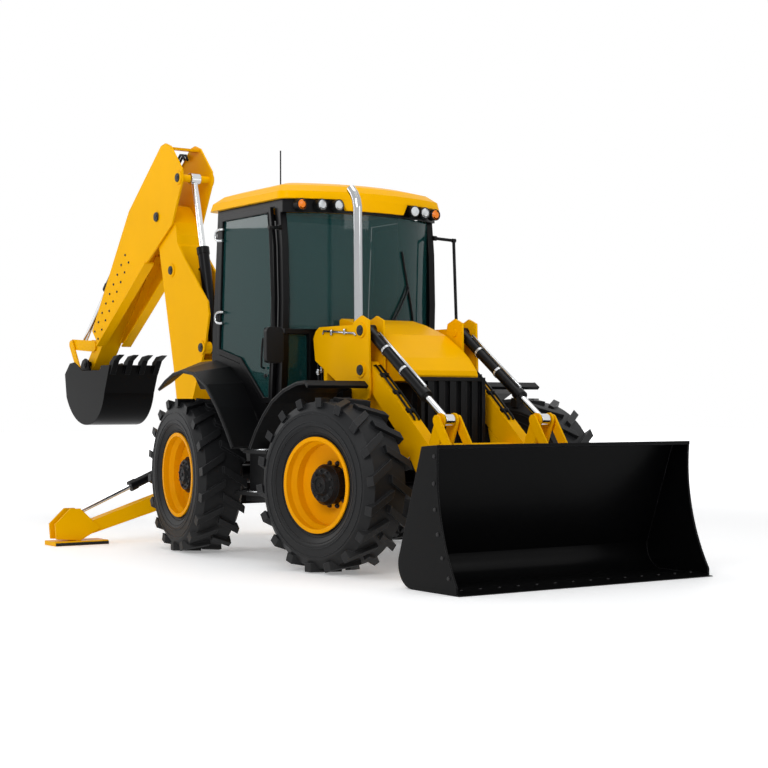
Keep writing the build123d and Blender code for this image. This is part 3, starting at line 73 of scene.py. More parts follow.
# %% Camera
camera_data = bpy.data.cameras.new("camera")
camera_data.lens = 77.17
camera_data.sensor_width = 36.0
camera_data.shift_x = -0.0068
camera_data.shift_y = 0.1092
camera_data.clip_end = 200.0
camera = bpy.data.objects.new("camera", camera_data)
bpy.context.scene.collection.objects.link(camera)
heading, dip = radians(145.54), radians(-2.17)
look = Vector((cos(heading) * cos(dip), sin(heading) * cos(dip), sin(dip)))
camera.location = at(13.120, -7.917, 1.303)
camera.rotation_euler = look.to_track_quat("-Z", "Y").to_euler()
bpy.context.scene.camera = camera
print("camera at", tuple(round(v, 3) for v in camera.location))

# %% [markdown]
# A studio floor and backdrop are one pale sweep. To the camera, to reflections and through
# glass the world is white, and to diffuse light it is dimmer, so the machine keeps its own
# shadow. Far from the lamps the floor would fall off to grey, so a soft glow grows with the
# distance from the machine and carries it up to the white of the backdrop.

# %% Floor and world
scene = bpy.context.scene
scene.view_settings.view_transform = "Standard"


def node_tree(material):
    """Clears a material's nodes and returns its tree."""
    material.use_nodes = True
    material.node_tree.nodes.clear()
    return material.node_tree


FLOOR_HALF, FLOOR_Z = 60.0, -0.002
GLOW_FADE = (("From Min", 5.0), ("From Max", 16.0), ("To Min", 0.24), ("To Max", 1.0))
floor_mesh = bpy.data.meshes.new("floor")
shape = bmesh.new()
bmesh.ops.create_grid(shape, x_segments=1, y_segments=1, size=FLOOR_HALF)
shape.to_mesh(floor_mesh)
shape.free()
floor = bpy.data.objects.new("floor", floor_mesh)
floor.location.z = FLOOR_Z
scene.collection.objects.link(floor)

floor_paint = bpy.data.materials.new("studio_floor")
tree = node_tree(floor_paint)
output = tree.nodes.new("ShaderNodeOutputMaterial")
surface = tree.nodes.new("ShaderNodeBsdfPrincipled")
surface.inputs["Base Color"].default_value = (0.93, 0.93, 0.93, 1.0)
surface.inputs["Roughness"].default_value = 0.55
surface.inputs["Emission Strength"].default_value = 1.0
place = tree.nodes.new("ShaderNodeTexCoord")
reach = tree.nodes.new("ShaderNodeVectorMath")
reach.operation = "LENGTH"
fade = tree.nodes.new("ShaderNodeMapRange")
fade.interpolation_type = "SMOOTHSTEP"
for label, value in GLOW_FADE:
    fade.inputs[label].default_value = value
glow = tree.nodes.new("ShaderNodeCombineColor")
tree.links.new(place.outputs["Object"], reach.inputs[0])
tree.links.new(reach.outputs["Value"], fade.inputs["Value"])
for label in ("Red", "Green", "Blue"):
    tree.links.new(fade.outputs["Result"], glow.inputs[label])
tree.links.new(glow.outputs["Color"], surface.inputs["Emission Color"])
tree.links.new(surface.outputs["BSDF"], output.inputs["Surface"])
floor_mesh.materials.append(floor_paint)

DIFFUSE_STRENGTH = 0.38
world = bpy.data.worlds.new("studio")
scene.world = world
world.use_nodes = True
tree = world.node_tree
tree.nodes.clear()
output = tree.nodes.new("ShaderNodeOutputWorld")
light = tree.nodes.new("ShaderNodeBackground")
light.inputs["Color"].default_value = (0.95, 0.97, 1.0, 1.0)
light.inputs["Strength"].default_value = DIFFUSE_STRENGTH
backdrop = tree.nodes.new("ShaderNodeBackground")
backdrop.inputs["Color"].default_value = (1.0, 1.0, 1.0, 1.0)
backdrop.inputs["Strength"].default_value = 1.0
path = tree.nodes.new("ShaderNodeLightPath")
either = tree.nodes.new("ShaderNodeMath")
either.operation = "MAXIMUM"
shown = tree.nodes.new("ShaderNodeMath")
shown.operation = "MAXIMUM"
mix = tree.nodes.new("ShaderNodeMixShader")
tree.links.new(path.outputs["Is Camera Ray"], either.inputs[0])
tree.links.new(path.outputs["Is Transmission Ray"], either.inputs[1])
tree.links.new(either.outputs["Value"], shown.inputs[0])
tree.links.new(path.outputs["Is Glossy Ray"], shown.inputs[1])
tree.links.new(shown.outputs["Value"], mix.inputs["Fac"])
tree.links.new(light.outputs["Background"], mix.inputs[1])
tree.links.new(backdrop.outputs["Background"], mix.inputs[2])
tree.links.new(mix.outputs["Shader"], output.inputs["Surface"])

# %% [markdown]
# Large soft boxes above and in front give broad highlights on the enamel and leave gentle
# shadows under the fenders and the boom.

# %% Lamps
LAMPS = (
    # name, place, aim, width, height, watts
    ("key_box", (9.0, -9.5, 8.5), (0.6, 0.0, 1.3), 6.0, 5.0, 620.0),
    ("front_box", (12.5, 3.5, 6.0), (1.5, 0.0, 1.2), 5.0, 4.0, 170.0),
    ("top_box", (0.0, 0.0, 10.5), (0.0, 0.0, 0.0), 9.0, 6.0, 380.0),
    ("rear_box", (-9.0, -7.0, 6.0), (-2.5, 0.0, 1.8), 5.0, 4.0, 220.0),
)
for name, place, aim, width, height, watts in LAMPS:
    lamp_data = bpy.data.lights.new(name, "AREA")
    lamp_data.shape = "RECTANGLE"
    lamp_data.size = width
    lamp_data.size_y = height
    lamp_data.energy = watts
    lamp = bpy.data.objects.new(name, lamp_data)
    lamp.location = at(*place)
    lamp.rotation_euler = (at(*aim) - at(*place)).to_track_quat("-Z", "Y").to_euler()
    scene.collection.objects.link(lamp)
print("lamps", len(LAMPS))

# %% [markdown]
# Every painted or moulded surface on a working machine has three things on top of its
# colour: edges that are rubbed brighter or duller, a slow variation over large areas, and a
# little dust low down. Each is a node group, so that every finish can use it in its own
# strength. The wear group reads the angle between the true and the rounded normal, which
# differ only along an edge, and hands the rounded normal on, so that edges catch the light.

# %% Shared shader groups


def new_group(name, inputs, outputs):
    """Empty shader group with named sockets: (name, type, value) for each input."""
    group = bpy.data.node_groups.new(name, "ShaderNodeTree")
    for label, kind, value in inputs:
        socket = group.interface.new_socket(label, in_out="INPUT", socket_type=kind)
        if value is not None:
            socket.default_value = value
    for label, kind in outputs:
        group.interface.new_socket(label, in_out="OUTPUT", socket_type=kind)
    return group, group.nodes.new("NodeGroupInput"), group.nodes.new("NodeGroupOutput")


def math(tree, operation, first, second=None):
    """Math node whose inputs are sockets or numbers, returning its output."""
    node = tree.nodes.new("ShaderNodeMath")
    node.operation = operation
    node.use_clamp = operation in ("ADD", "SUBTRACT")
    for number, value in enumerate((first, second)):
        if value is None:
            continue
        if isinstance(value, (int, float)):
            node.inputs[number].default_value = value
        else:
            tree.links.new(value, node.inputs[number])
    return node.outputs["Value"]


def noise(tree, scale, detail=4.0, roughness=0.5):
    """Noise over Object coordinates, returning its value."""
    place = tree.nodes.new("ShaderNodeTexCoord")
    node = tree.nodes.new("ShaderNodeTexNoise")
    node.inputs["Scale"].default_value = scale
    node.inputs["Detail"].default_value = detail
    node.inputs["Roughness"].default_value = roughness
    tree.links.new(place.outputs["Object"], node.inputs["Vector"])
    return node.outputs["Fac"]


WEAR_SCALE, WEAR_GAIN, DUST_SCALE = 9.0, 5.0, 14.0
wear_group, source, sink = new_group(
    "edge_wear",
    (("Width", "NodeSocketFloat", 0.007), ("Amount", "NodeSocketFloat", 0.5)),
    (("Mask", "NodeSocketFloat"), ("Normal", "NodeSocketVector")))
bevel = wear_group.nodes.new("ShaderNodeBevel")
bevel.samples = 4
wear_group.links.new(source.outputs["Width"], bevel.inputs["Radius"])
geometry = wear_group.nodes.new("ShaderNodeNewGeometry")
dot = wear_group.nodes.new("ShaderNodeVectorMath")
dot.operation = "DOT_PRODUCT"
wear_group.links.new(bevel.outputs["Normal"], dot.inputs[0])
wear_group.links.new(geometry.outputs["Normal"], dot.inputs[1])
edge = math(wear_group, "SUBTRACT", 1.0, dot.outputs["Value"])
patches = math(wear_group, "MULTIPLY", noise(wear_group, WEAR_SCALE), WEAR_GAIN)
rubbed = math(wear_group, "MULTIPLY", edge, patches)
mask = math(wear_group, "MINIMUM", math(wear_group, "MULTIPLY", rubbed, source.outputs["Amount"]), 1.0)
wear_group.links.new(mask, sink.inputs["Mask"])
wear_group.links.new(bevel.outputs["Normal"], sink.inputs["Normal"])

dust_group, source, sink = new_group(
    "low_dust",
    (("Height", "NodeSocketFloat", 1.2), ("Amount", "NodeSocketFloat", 0.3)),
    (("Mask", "NodeSocketFloat"),))
place = dust_group.nodes.new("ShaderNodeTexCoord")
split = dust_group.nodes.new("ShaderNodeSeparateXYZ")
dust_group.links.new(place.outputs["Object"], split.inputs["Vector"])
height = math(dust_group, "DIVIDE", split.outputs["Z"], source.outputs["Height"])
fall = math(dust_group, "SUBTRACT", 1.0, height)
speckle = math(dust_group, "MULTIPLY", noise(dust_group, DUST_SCALE, 6.0, 0.65), fall)
dust_group.links.new(math(dust_group, "MULTIPLY", speckle, source.outputs["Amount"]), sink.inputs["Mask"])

mottle_group, source, sink = new_group(
    "slow_mottle",
    (("Color", "NodeSocketColor", None), ("Scale", "NodeSocketFloat", 2.0),
     ("Amount", "NodeSocketFloat", 0.1)),
    (("Color", "NodeSocketColor"), ("Value", "NodeSocketFloat")))
place = mottle_group.nodes.new("ShaderNodeTexCoord")
cloud = mottle_group.nodes.new("ShaderNodeTexNoise")
cloud.inputs["Detail"].default_value = 5.0
mottle_group.links.new(place.outputs["Object"], cloud.inputs["Vector"])
mottle_group.links.new(source.outputs["Scale"], cloud.inputs["Scale"])
thin = math(mottle_group, "SUBTRACT", 1.0, cloud.outputs["Fac"])
shift = math(mottle_group, "MULTIPLY", thin, source.outputs["Amount"])
tone = mottle_group.nodes.new("ShaderNodeHueSaturation")
mottle_group.links.new(source.outputs["Color"], tone.inputs["Color"])
mottle_group.links.new(math(mottle_group, "SUBTRACT", 1.0, shift), tone.inputs["Value"])
mottle_group.links.new(tone.outputs["Color"], sink.inputs["Color"])
mottle_group.links.new(cloud.outputs["Fac"], sink.inputs["Value"])
print("groups", [group.name for group in bpy.data.node_groups])

# %% [markdown]
# A finish is one row of a table: colour, how rough and how metallic it is, how strongly it
# and its clear coat reflect, the colour that shows on rubbed edges, and how strong each
# effect is. One function turns a row into a material, with the same groups placed in each.
# The reflections are kept low, because a white studio would wash the yellow out.

# %% Finishes
FINISHES = {
    # name: colour, roughness, metallic, specular, coat,
    #       edge colour, wear, dust, bump scale, bump height
    "machine_yellow": ((0.950, 0.470, 0.000), 0.30, 0.0, 0.02, 0.01,
                       (0.96, 0.54, 0.02), 0.20, 0.00, 260.0, 0.0005),
    "rim_yellow": ((0.900, 0.370, 0.000), 0.34, 0.0, 0.03, 0.01,
                   (0.96, 0.50, 0.02), 0.20, 0.01, 260.0, 0.0005),
    "satin_black": ((0.0030, 0.0030, 0.0035), 0.32, 0.0, 0.10, 0.02,
                    (0.05, 0.05, 0.052), 0.30, 0.02, 240.0, 0.0006),
    "bucket_black": ((0.0012, 0.0013, 0.0016), 0.30, 0.0, 0.06, 0.01,
                     (0.10, 0.10, 0.105), 0.35, 0.01, 120.0, 0.0010),
    "cast_dark": ((0.010, 0.010, 0.011), 0.50, 0.2, 0.30, 0.0,
                  (0.08, 0.08, 0.085), 0.40, 0.04, 90.0, 0.0020),
    "moulded_black": ((0.0035, 0.0037, 0.0042), 0.42, 0.0, 0.12, 0.0,
                      (0.06, 0.06, 0.063), 0.45, 0.02, 420.0, 0.0008),
    "tyre_rubber": ((0.0080, 0.0085, 0.0095), 0.50, 0.0, 0.18, 0.0,
                    (0.050, 0.052, 0.056), 0.75, 0.05, 160.0, 0.0015),
    "polished_rod": ((0.72, 0.73, 0.74), 0.10, 1.0, 0.5, 0.0,
                     (0.80, 0.80, 0.81), 0.1, 0.0, 500.0, 0.0001),
    "bright_pipe": ((0.44, 0.45, 0.46), 0.15, 1.0, 0.5, 0.0,
                    (0.75, 0.75, 0.76), 0.1, 0.0, 300.0, 0.0002),
    "woven_seat": ((0.022, 0.022, 0.024), 0.80, 0.0, 0.4, 0.0,
                   (0.05, 0.05, 0.055), 0.2, 0.02, 900.0, 0.0040),
}
COAT_ROUGHNESS, BUMP_STRENGTH = 0.08, 0.35
MOTTLE_SCALE, MOTTLE_AMOUNT = 1.6, 0.16
ROUGHNESS_SPREAD, DUST_ROUGHNESS = 0.12, 0.4
DUST_COLOR = (0.20, 0.18, 0.15, 1.0)


def finish(name):
    """Material made from one row of FINISHES."""
    color, rough, metal, specular, coat = FINISHES[name][:5]
    edge_color, wear, dust, bump_scale, bump_height = FINISHES[name][5:]
    material = bpy.data.materials.new(name)
    tree = node_tree(material)
    output = tree.nodes.new("ShaderNodeOutputMaterial")
    surface = tree.nodes.new("ShaderNodeBsdfPrincipled")
    surface.inputs["Metallic"].default_value = metal
    surface.inputs["Specular IOR Level"].default_value = specular
    surface.inputs["Coat Weight"].default_value = coat
    surface.inputs["Coat Roughness"].default_value = COAT_ROUGHNESS
    mottle = tree.nodes.new("ShaderNodeGroup")
    mottle.node_tree = mottle_group
    mottle.inputs["Color"].default_value = (*color, 1.0)
    mottle.inputs["Scale"].default_value = MOTTLE_SCALE
    mottle.inputs["Amount"].default_value = MOTTLE_AMOUNT
    rub = tree.nodes.new("ShaderNodeGroup")
    rub.node_tree = wear_group
    rub.inputs["Amount"].default_value = wear
    grime = tree.nodes.new("ShaderNodeGroup")
    grime.node_tree = dust_group
    grime.inputs["Amount"].default_value = dust
    worn = tree.nodes.new("ShaderNodeMix")
    worn.data_type = "RGBA"
    worn.inputs["B"].default_value = (*edge_color, 1.0)
    tree.links.new(rub.outputs["Mask"], worn.inputs["Factor"])
    tree.links.new(mottle.outputs["Color"], worn.inputs["A"])
    dusty = tree.nodes.new("ShaderNodeMix")
    dusty.data_type = "RGBA"
    dusty.inputs["B"].default_value = DUST_COLOR
    tree.links.new(grime.outputs["Mask"], dusty.inputs["Factor"])
    tree.links.new(worn.outputs["Result"], dusty.inputs["A"])
    tree.links.new(dusty.outputs["Result"], surface.inputs["Base Color"])
    uneven = math(tree, "MULTIPLY", mottle.outputs["Value"], ROUGHNESS_SPREAD)
    dull = math(tree, "ADD", rough - ROUGHNESS_SPREAD / 2, uneven)
    gritty = math(tree, "MULTIPLY", grime.outputs["Mask"], DUST_ROUGHNESS)
    tree.links.new(math(tree, "ADD", dull, gritty), surface.inputs["Roughness"])
    bump = tree.nodes.new("ShaderNodeBump")
    bump.inputs["Strength"].default_value = BUMP_STRENGTH
    bump.inputs["Distance"].default_value = bump_height
    tree.links.new(rub.outputs["Normal"], bump.inputs["Normal"])
    tree.links.new(noise(tree, bump_scale, 3.0), bump.inputs["Height"])
    tree.links.new(bump.outputs["Normal"], surface.inputs["Normal"])
    tree.links.new(surface.outputs["BSDF"], output.inputs["Surface"])
    return material


paint = {name: finish(name) for name in FINISHES}
print("finishes", sorted(paint))

# %% [markdown]
# The windows are tinted safety glass. A thin pane seen from outside shows a darkened view of
# the cab behind it under a faint reflection of the studio. One glossy surface in the tint's
# colour does this: its alpha lets part of the light straight through, and less of it
# towards grazing angles. The lamps' lenses are the same material in other colours.

# %% Glass and lenses
GLASS_IOR, GLASS_SPECULAR, GLASS_COAT = 1.5, 0.25, 0.1
GLASS_BLEND, GLASS_GRAZING = 0.25, 0.3


def glass(name, tint, rough, alpha):
    """Thin tinted pane: most transparent where it faces the viewer."""
    material = bpy.data.materials.new(name)
    tree = node_tree(material)
    output = tree.nodes.new("ShaderNodeOutputMaterial")
    surface = tree.nodes.new("ShaderNodeBsdfPrincipled")
    surface.inputs["Base Color"].default_value = (*tint, 1.0)
    surface.inputs["Roughness"].default_value = rough
    surface.inputs["Specular IOR Level"].default_value = GLASS_SPECULAR
    surface.inputs["Coat Weight"].default_value = GLASS_COAT
    surface.inputs["Coat Roughness"].default_value = 0.02
    surface.inputs["IOR"].default_value = GLASS_IOR
    facing = tree.nodes.new("ShaderNodeLayerWeight")
    facing.inputs["Blend"].default_value = GLASS_BLEND
    grazing = math(tree, "MULTIPLY", facing.outputs["Fresnel"], GLASS_GRAZING)
    tree.links.new(math(tree, "ADD", alpha, grazing), surface.inputs["Alpha"])
    tree.links.new(surface.outputs["BSDF"], output.inputs["Surface"])
    return material


window_tint = glass("window_tint", (0.008, 0.046, 0.045), 0.02, 0.70)
lamp_lens = glass("lamp_lens", (0.85, 0.88, 0.90), 0.05, 0.55)
amber_lens = glass("amber_lens", (0.90, 0.22, 0.01), 0.08, 0.85)

# %% [markdown]
# The CAD solids end where a bolt, a seal or a lens would start. Those small parts are made
# here with bmesh operators. Each helper adds one simple form to an open bmesh, so that one
# piece can gather many of them, such as all the nuts of a wheel.

# %% Helpers for new pieces


def turn_to(axis):
    """Rotation that takes +Z to the given axis."""
    return Vector(axis).normalized().to_track_quat("Z", "Y").to_matrix().to_4x4()


def add_disc(shape, centre, axis, radius, depth, end_radius=None, segments=24):
    """Solid disc or cone whose base is centred on a point and which rises along axis."""
    axis = Vector(axis).normalized()
    middle = Vector(centre) + axis * depth / 2
    made = bmesh.ops.create_cone(
        shape, cap_ends=True, segments=segments, radius1=radius,
        radius2=radius if end_radius is None else end_radius, depth=depth,
        matrix=Matrix.Translation(middle) @ turn_to(axis))
    return made["verts"]


def add_nut(shape, centre, axis, width, height):
    """Hexagon nut with its washer and the stud's end."""
    axis = Vector(axis).normalized()
    centre = Vector(centre)
    add_disc(shape, centre, axis, width * 0.68, height * 0.18, segments=14)
    add_disc(shape, centre + axis * height * 0.16, axis, width * 0.56, height * 0.62, width * 0.56, 6)
    add_disc(shape, centre + axis * height * 0.76, axis, width * 0.50, height * 0.10, width * 0.40, 6)
    add_disc(shape, centre + axis * height * 0.84, axis, width * 0.26, height * 0.22, width * 0.22, 10)


def add_box(shape, low, high, bevel=0.0):
    """Box between two corners, with its edges rounded by bevel."""
    low, high = Vector(low), Vector(high)
    size = high - low
    place = Matrix.Translation((low + high) / 2) @ Matrix.Diagonal((*size, 1.0))
    made = bmesh.ops.create_cube(shape, size=1.0, matrix=place)
    if bevel:
        edges = list({edge for vert in made["verts"] for edge in vert.link_edges})
        bmesh.ops.bevel(shape, geom=edges, offset=bevel, offset_type="OFFSET", segments=2, profile=0.5,
                        affect="EDGES", material=-1)
    return made["verts"]


def add_ring(shape, centre, axis, profile, segments=64):
    """Closed ring: a small profile of (radius, height along axis) turned about axis."""
    axis = Vector(axis).normalized()
    side = axis.orthogonal().normalized()
    verts = [shape.verts.new(Vector(centre) + side * radius + axis * height) for radius, height in profile]
    face = shape.faces.new(verts)
    bmesh.ops.spin(shape, geom=[face] + list(face.edges) + verts, cent=Vector(centre), axis=axis,
                   angle=2 * pi, steps=segments, use_merge=True)


def add_tube(shape, points, radius, segments=10):
    """Round tube through a list of points, closed at both ends."""
    points = [Vector(point) for point in points]
    rings = []
    for number, point in enumerate(points):
        before = points[max(number - 1, 0)]
        after = points[min(number + 1, len(points) - 1)]
        frame_turn = turn_to(after - before)
        ring = bmesh.ops.create_circle(shape, segments=segments, radius=radius,
                                       matrix=Matrix.Translation(point) @ frame_turn)["verts"]
        rings.append(list({edge for vert in ring for edge in vert.link_edges}))
    for first, second in zip(rings, rings[1:]):
        bmesh.ops.bridge_loops(shape, edges=first + second)
    for ring in (rings[0], rings[-1]):
        bmesh.ops.contextual_create(shape, geom=ring)


def new_piece(name, shape, material, body, smooth=32.0):
    """Object from a bmesh that rides on a CAD body, with its place in its mesh."""
    bmesh.ops.remove_doubles(shape, verts=shape.verts, dist=0.00001)
    bmesh.ops.recalc_face_normals(shape, faces=shape.faces)
    mesh = bpy.data.meshes.new(name)
    shape.to_mesh(mesh)
    shape.free()
    mesh.materials.append(material)
    mesh.polygons.foreach_set("use_smooth", [True] * len(mesh.polygons))
    mesh.set_sharp_from_angle(angle=radians(smooth))
    piece = bpy.data.objects.new(name, mesh)
    scene.collection.objects.link(piece)
    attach(piece, body)
    return piece


# %% [markdown]
# Each wheel has a black planetary hub in a yellow dished rim. A circle of nuts holds the
# dish, a smaller circle of bolts closes the hub, and the tyre's walls carry thin moulded
# rings. The wheel's own axis comes from its joint, so the parts follow the parked steering.

# %% Wheels
JOINTS = {joint["name"]: joint for joint in frame["record"]["behaviour"]["joints"]}
WHEEL_OFFSET, DISC_FACE, HUB_FACE, TYRE_HALF = 0.200, 0.186, 0.314, 0.210
WHEEL_NUTS, WHEEL_NUT_CIRCLE, HUB_BOLTS, HUB_BOLT_CIRCLE = 12, 0.172, 10, 0.108
HUB_COVER = (
    # radius and height of the black cover, out along its outer face and back along its inner one
    (0.154, 0.188), (0.154, 0.282), (0.132, 0.313), (0.087, 0.313), (0.071, 0.333), (0.002, 0.333),
    (0.002, 0.331), (0.070, 0.331), (0.0855, 0.311), (0.131, 0.311), (0.1515, 0.281), (0.1515, 0.188))
CAP_RING = ((0.060, 0.332), (0.066, 0.332), (0.068, 0.338), (0.058, 0.338))
SEAL_RING = ((0.150, 0.262), (0.161, 0.262), (0.161, 0.276), (0.150, 0.276))
WALL_RINGS = ((0.405, 0.004), (0.452, 0.003), (0.492, 0.005), (0.556, 0.003))
WALL_BEND_RADIUS, WALL_SLOPE = 0.47, 0.52
CORNERS = ("front_right", "front_left", "rear_right", "rear_left")
for corner in CORNERS:
    spin = JOINTS["wheel_spin_" + corner]
    outward = Vector(spin["axis"]) * (-1 if corner.endswith("right") else 1)
    kingpin = Vector(spin["pos_m"])
    across = outward.orthogonal().normalized()
    nuts = bmesh.new()
    for number in range(WHEEL_NUTS):
        spoke = Matrix.Rotation(2 * pi * number / WHEEL_NUTS, 4, outward) @ across
        add_nut(nuts, kingpin + outward * DISC_FACE + spoke * WHEEL_NUT_CIRCLE, outward, 0.030, 0.024)
    for number in range(HUB_BOLTS):
        spoke = Matrix.Rotation(2 * pi * (number + 0.5) / HUB_BOLTS, 4, outward) @ across
        add_nut(nuts, kingpin + outward * HUB_FACE + spoke * HUB_BOLT_CIRCLE, outward, 0.018, 0.012)
    new_piece("wheel_nuts_" + corner, nuts, paint["cast_dark"], "wheel_" + corner)
    hub = bmesh.new()
    add_ring(hub, kingpin, outward, HUB_COVER, 56)
    add_ring(hub, kingpin, outward, CAP_RING, 40)
    add_ring(hub, kingpin, outward, SEAL_RING, 48)
    add_disc(hub, kingpin + outward * 0.331, outward, 0.018, 0.012, 0.014, 12)
    new_piece("hub_rings_" + corner, hub, paint["satin_black"], "wheel_" + corner)
    walls = bmesh.new()
    for face in (-1, 1):
        wall = WHEEL_OFFSET + face * TYRE_HALF
        for radius, half in WALL_RINGS:
            rise = max(0.0, WALL_BEND_RADIUS - radius) * WALL_SLOPE
            low, high = wall - face * (rise + 0.004), wall - face * (rise - 0.004)
            crest = half * 0.6
            ridge = ((radius - half, low), (radius + half, low),
                     (radius + crest, high), (radius - crest, high))
            add_ring(walls, kingpin, outward, ridge, 72)
    new_piece("tyre_rings_" + corner, walls, paint["tyre_rubber"], "wheel_" + corner)
print("wheels dressed", CORNERS)

# %% [markdown]
# Pins hold the linkage together, and their ends show on the bosses: a round cap with a
# keeper plate and its bolt. One table lists each pin's place, the Y of its outer face and
# the body that carries it. The boom's foot has none, because its boss passes close to the
# rear frame when the boom slews.

# %% Pin caps
PIN_CAPS = (
    # name, side place, outer Y, cap radius, body
    ("tower_low", (1.990, 1.590), 0.565, 0.044, "machine"),
    ("tower_high", (1.990, 1.910), 0.565, 0.044, "machine"),
    ("bucket_pivot", (3.360, 0.200), 0.556, 0.040, "front_bucket"),
    ("boom_ram_foot", (-2.070, 0.620), 0.186, 0.046, "kingpost"),
    ("boom_ram_eye", (-2.150, 2.690), 0.162, 0.046, "boom"),
    ("dipper_ram_foot", (-1.500, 1.880), 0.162, 0.046, "boom"),
    ("boom_head", (-2.420, 3.260), 0.190, 0.050, "boom"),
    ("dipper_ram_eye", (-1.930, 3.610), 0.192, 0.046, "dipper"),
    ("digging_hinge", (-4.250, 1.770), 0.184, 0.044, "digging_bucket"),
)
for name, (pin_x, pin_z), outer, radius, body in PIN_CAPS:
    caps = bmesh.new()
    for side in SIDES:
        centre = at(pin_x, side * outer, pin_z)
        out = Vector((0, side, 0))
        add_disc(caps, centre - out * 0.001, out, radius, 0.010, radius * 0.92, 28)
        add_disc(caps, centre + out * 0.009, out, radius * 0.42, 0.004, radius * 0.36, 18)
        add_nut(caps, centre + Vector((radius * 0.62, side * 0.008, radius * 0.2)), out, 0.018, 0.010)
    new_piece("pin_caps_" + name, caps, paint["cast_dark"], body)
print("pin caps", len(PIN_CAPS))

# %% [markdown]
# The front bucket wears at its toe, so a thick cutting edge is bolted along the floor plate,
# with its plough bolts in a row. The edge is one outline, extruded over the bucket's width.

# %% Front bucket
EDGE_HALF_WIDTH, EDGE_BOLTS, BOLT_HALF_SPAN = 1.194, 14, 1.10
EDGE_OUTLINE = ((4.187, 0.0), (4.187, 0.004), (4.120, 0.020), (3.985, 0.034), (3.985, 0.016))
edge = bmesh.new()
face = edge.faces.new([edge.verts.new(point) for point in along_side(EDGE_OUTLINE, -EDGE_HALF_WIDTH)])
made = bmesh.ops.extrude_face_region(edge, geom=[face])
moved = [vert for vert in made["geom"] if isinstance(vert, bmesh.types.BMVert)]
bmesh.ops.translate(edge, verts=moved, vec=(0, 2 * EDGE_HALF_WIDTH, 0))
new_piece("bucket_cutting_edge", edge, paint["bucket_black"], "front_bucket")
bolts = bmesh.new()
for number in range(EDGE_BOLTS):
    bolt_y = -BOLT_HALF_SPAN + number * 2 * BOLT_HALF_SPAN / (EDGE_BOLTS - 1)
    add_disc(bolts, at(4.060, bolt_y, 0.0245), (-0.13, 0, 1), 0.013, 0.006, 0.011, 12)
new_piece("bucket_edge_bolts", bolts, paint["cast_dark"], "front_bucket")
print("bucket edge with", EDGE_BOLTS, "bolts")

# %% [markdown]
# Six round lamps sit in the dark band under the roof: clear work lamps inboard and an amber
# marker at each end. Each has a black bezel, a domed lens and a bright bowl behind it.

# %% Roof lamps
LAMP_ROW = (
    # Y of each lamp, and X of its back
    (-0.690, 1.234), (-0.530, 1.299), (-0.390, 1.339), (0.390, 1.339), (0.530, 1.299), (0.690, 1.234))
LAMP_Z, LAMP_DEPTH, AMBER_BEYOND = 2.985, 0.060, 0.6
BEZEL = ((0.041, 0.000), (0.050, 0.000), (0.050, 0.010), (0.045, 0.014), (0.041, 0.012))
bezels, bowls, clear, amber = bmesh.new(), bmesh.new(), bmesh.new(), bmesh.new()
for lamp_y, lamp_x in LAMP_ROW:
    face_at = at(lamp_x + LAMP_DEPTH, lamp_y, LAMP_Z)
    ahead = Vector((1, 0, 0))
    add_ring(bezels, face_at, ahead, BEZEL, 40)
    add_disc(bowls, face_at + ahead * 0.0102, ahead, 0.039, 0.003, 0.036, 32)
    lens = amber if abs(lamp_y) > AMBER_BEYOND else clear
    add_disc(lens, face_at + ahead * 0.0135, ahead, 0.0405, 0.004, 0.036, 32)
    add_disc(lens, face_at + ahead * 0.0175, ahead, 0.036, 0.004, 0.022, 32)
new_piece("lamp_bezels", bezels, paint["moulded_black"], "machine")
new_piece("lamp_bowls", bowls, paint["bright_pipe"], "machine")
new_piece("lamp_lenses_clear", clear, lamp_lens, "machine", 60)
new_piece("lamp_lenses_amber", amber, amber_lens, "machine", 60)

# %% [markdown]
# The doors are bonded glass in a slim frame. A black rubber bead closes the pane's edge, two
# bright hinges carry the door at its rear edge, and a handle with its lock sits low in front.

